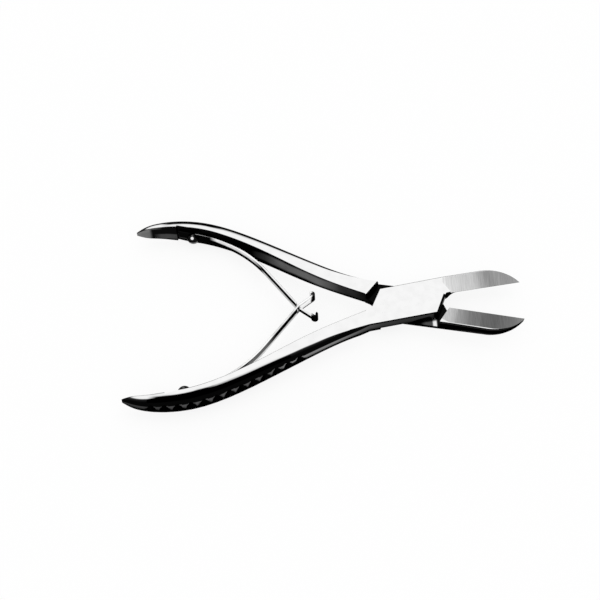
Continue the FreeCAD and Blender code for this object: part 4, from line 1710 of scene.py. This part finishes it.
@dataclass(kw_only=True)
class PivotScrew(Screw):
    """Flat-headed screw through the joint, its head flush with the underside."""

    turn_steps: int = 64
    shank: float = 5.0
    head: float = 8.4
    head_depth: float = 1.5
    cover: float = 0.9
    end_gap: float = 0.1
    edge: float = 0.15
    slot_width: float = 1.1
    slot_depth: float = 0.7

    def build(self) -> bpy.types.Object:
        """Make the screw and set it in the joint.

        Returns:
            The finished piece.
        """
        head, shank, wide = self.head / 2, self.shank / 2, self.slot_width / 2
        low = -self.joint.thick / 2
        neck, top = low + self.head_depth, -low - self.cover - self.end_gap
        profile = [(0.0, low), (head - self.edge, low), (head, low + self.edge), (head, neck),
                   (shank, neck), (shank, top - self.edge), (shank - self.edge, top), (0.0, top)]
        slot = Bench.plate("screw_slot", Bench.oblong(-self.head, -wide, self.head, wide),
                           low - self.head_depth, low + self.slot_depth)
        return self.turn(profile, slot, self.joint.drop @ Matrix.Scale(MM, 4))


@dataclass(frozen=True)
class Studio:
    """Pale floor, soft light and the camera at the photograph's angle."""

    camera_place: Point3 = (-0.0292, -0.3508, 0.4490)
    camera_turn: Point3 = (38.1131, 1.4160, -1.0953)
    lens: float = 78.0
    shift: float = -0.04
    clip_start: float = 0.01
    floor_size: float = 12.0
    world_strength: float = 1.0
    floor_glow: float = 0.85
    paper_grey: float = 0.97
    paper_rough: float = 0.9

    def build(self, low: float) -> None:
        """Set up floor, light and camera.

        Args:
            low: height of the floor.
        """
        scene = bpy.context.scene
        scene.view_settings.view_transform = "Standard"
        Bench.clear()
        bpy.ops.mesh.primitive_plane_add(size=self.floor_size, location=(0, 0, low))
        floor = bpy.context.active_object
        floor.name = "floor"
        floor.data.materials.append(self.floor_paper())
        world = bpy.data.worlds.new("room")
        world.use_nodes = True
        light = world.node_tree.nodes["Background"]
        light.inputs["Color"].default_value = (1, 1, 1, 1)
        light.inputs["Strength"].default_value = self.world_strength
        scene.world = world
        data = bpy.data.cameras.new("camera")
        data.lens = self.lens
        data.shift_x = self.shift
        data.clip_start = self.clip_start
        camera = bpy.data.objects.new("camera", data)
        scene.collection.objects.link(camera)
        camera.location = self.camera_place
        camera.rotation_euler = [math.radians(angle) for angle in self.camera_turn]
        scene.camera = camera

    def floor_paper(self) -> bpy.types.Material:
        """White paper that shows white to the camera and in the steel, and keeps a shadow.

        Returns:
            The material.
        """
        board = Board("floor_paper")
        grey = self.paper_grey
        board.shader.inputs["Base Color"].default_value = (grey, grey, grey, 1)
        board.shader.inputs["Roughness"].default_value = self.paper_rough
        path = board.node("ShaderNodeLightPath")
        seen = board.sum("ADD", (path, "Is Camera Ray"), (path, "Is Glossy Ray"))
        seen = board.sum("ADD", (seen, 0), (path, "Is Transmission Ray"))
        share = board.sum("MULTIPLY", (seen, 0), self.floor_glow)
        glow = board.node("ShaderNodeEmission")
        mix = board.node("ShaderNodeMixShader")
        board.join(share, 0, mix, 0)
        board.join(board.shader, "BSDF", mix, 1)
        board.join(glow, "Emission", mix, 2)
        board.join(mix, "Shader", board.output, "Surface")
        return board.material


def main() -> None:
    """Build the pieces in order and set up the studio."""
    # The steels' greys are painted reflection, painted highlight and painted shade.
    painted_reflection = ReflectionPaintedSteel("lever_painted_reflection", LEVER_REFLECTION_STOPS, FAR_REFLECTION_STOPS,
                           (HIGHLIGHT_STREAK, SHADE, BLADE_SIDE_HIGHLIGHT)).make()
    dark = ReflectionPaintedSteel("shoulder_painted_shadow", RECESS_SHADOW_STOPS).make()
    inner = SideLightSteel("handle_inner_side", INNER_LIGHT_BANDS).make()
    lap = SideLightSteel("lap_face", (), -LAP_REACH, LAP_REACH, top_highlight_along=LAP_TOP_REFLECTION).make()
    leaf_light_paints = {
        Half.UNDER: SideLightSteel("tongue_leaf_painted_light", TONGUE_LIGHT_BANDS, top_highlight_along=LEAF_TOP_HIGHLIGHT).make(),
        Half.OVER: SideLightSteel("window_leaf_painted_light", WINDOW_LIGHT_BANDS, top_highlight_along=LEAF_TOP_HIGHLIGHT).make()}
    screw_reflection = ReflectionPaintedSteel("screw_painted_reflection", SCREW_REFLECTION_STOPS, glint_way=SCREW_GLINT_WAY).make()
    joint = Joint()
    grounds = {
        Half.UNDER: GroundSteel("under_blade_ground", -joint.half_open, LOWER_REFLECTION_GREYS).make(),
        Half.OVER: GroundSteel("over_blade_ground", joint.half_open, UPPER_REFLECTION_GREYS).make()}
    blades = {Half.UNDER: Blade(grind_strip=0.9, grind_angle=5.3, grind_start=-1.0),
              Half.OVER: Blade(grind_strip=0.7, grind_angle=5.2)}
    pieces = []
    for half, word, leaf_word in ((Half.UNDER, "under", "tongue"), (Half.OVER, "over", "window")):
        lever = Lever(name=f"{word}_lever_body", node=f"{word}_lever", half=half, joint=joint,
                      blade=blades[half], painted_reflection=painted_reflection, inner=inner, ground=grounds[half],
                      dark=dark, lap=lap)
        leaf = Leaf(name=f"{leaf_word}_leaf", node=f"{leaf_word}_spring", lever=lever,
                    has_window=half is Half.OVER, finish=leaf_light_paints[half], dark=dark)
        screw = SpringScrew(name=f"{leaf_word}_leaf_screw", node=f"{leaf_word}_spring_screw",
                            half=half, joint=joint, leaf=leaf, finish=screw_reflection, dark=dark)
        pieces += [lever.build(), leaf.build(), screw.build()]
    pivot = PivotScrew(name="joint_screw", node="pivot_screw", half=Half.OVER, joint=joint,
                       finish=screw_reflection, dark=dark)
    pieces.append(pivot.build())
    for piece in pieces:
        log.info("%s: %d faces", piece.name, len(piece.data.polygons))
    Studio().build(cad_box[0].z)


if __name__ == "__main__":
    logging.basicConfig(level=logging.INFO, format="%(message)s")
    main()
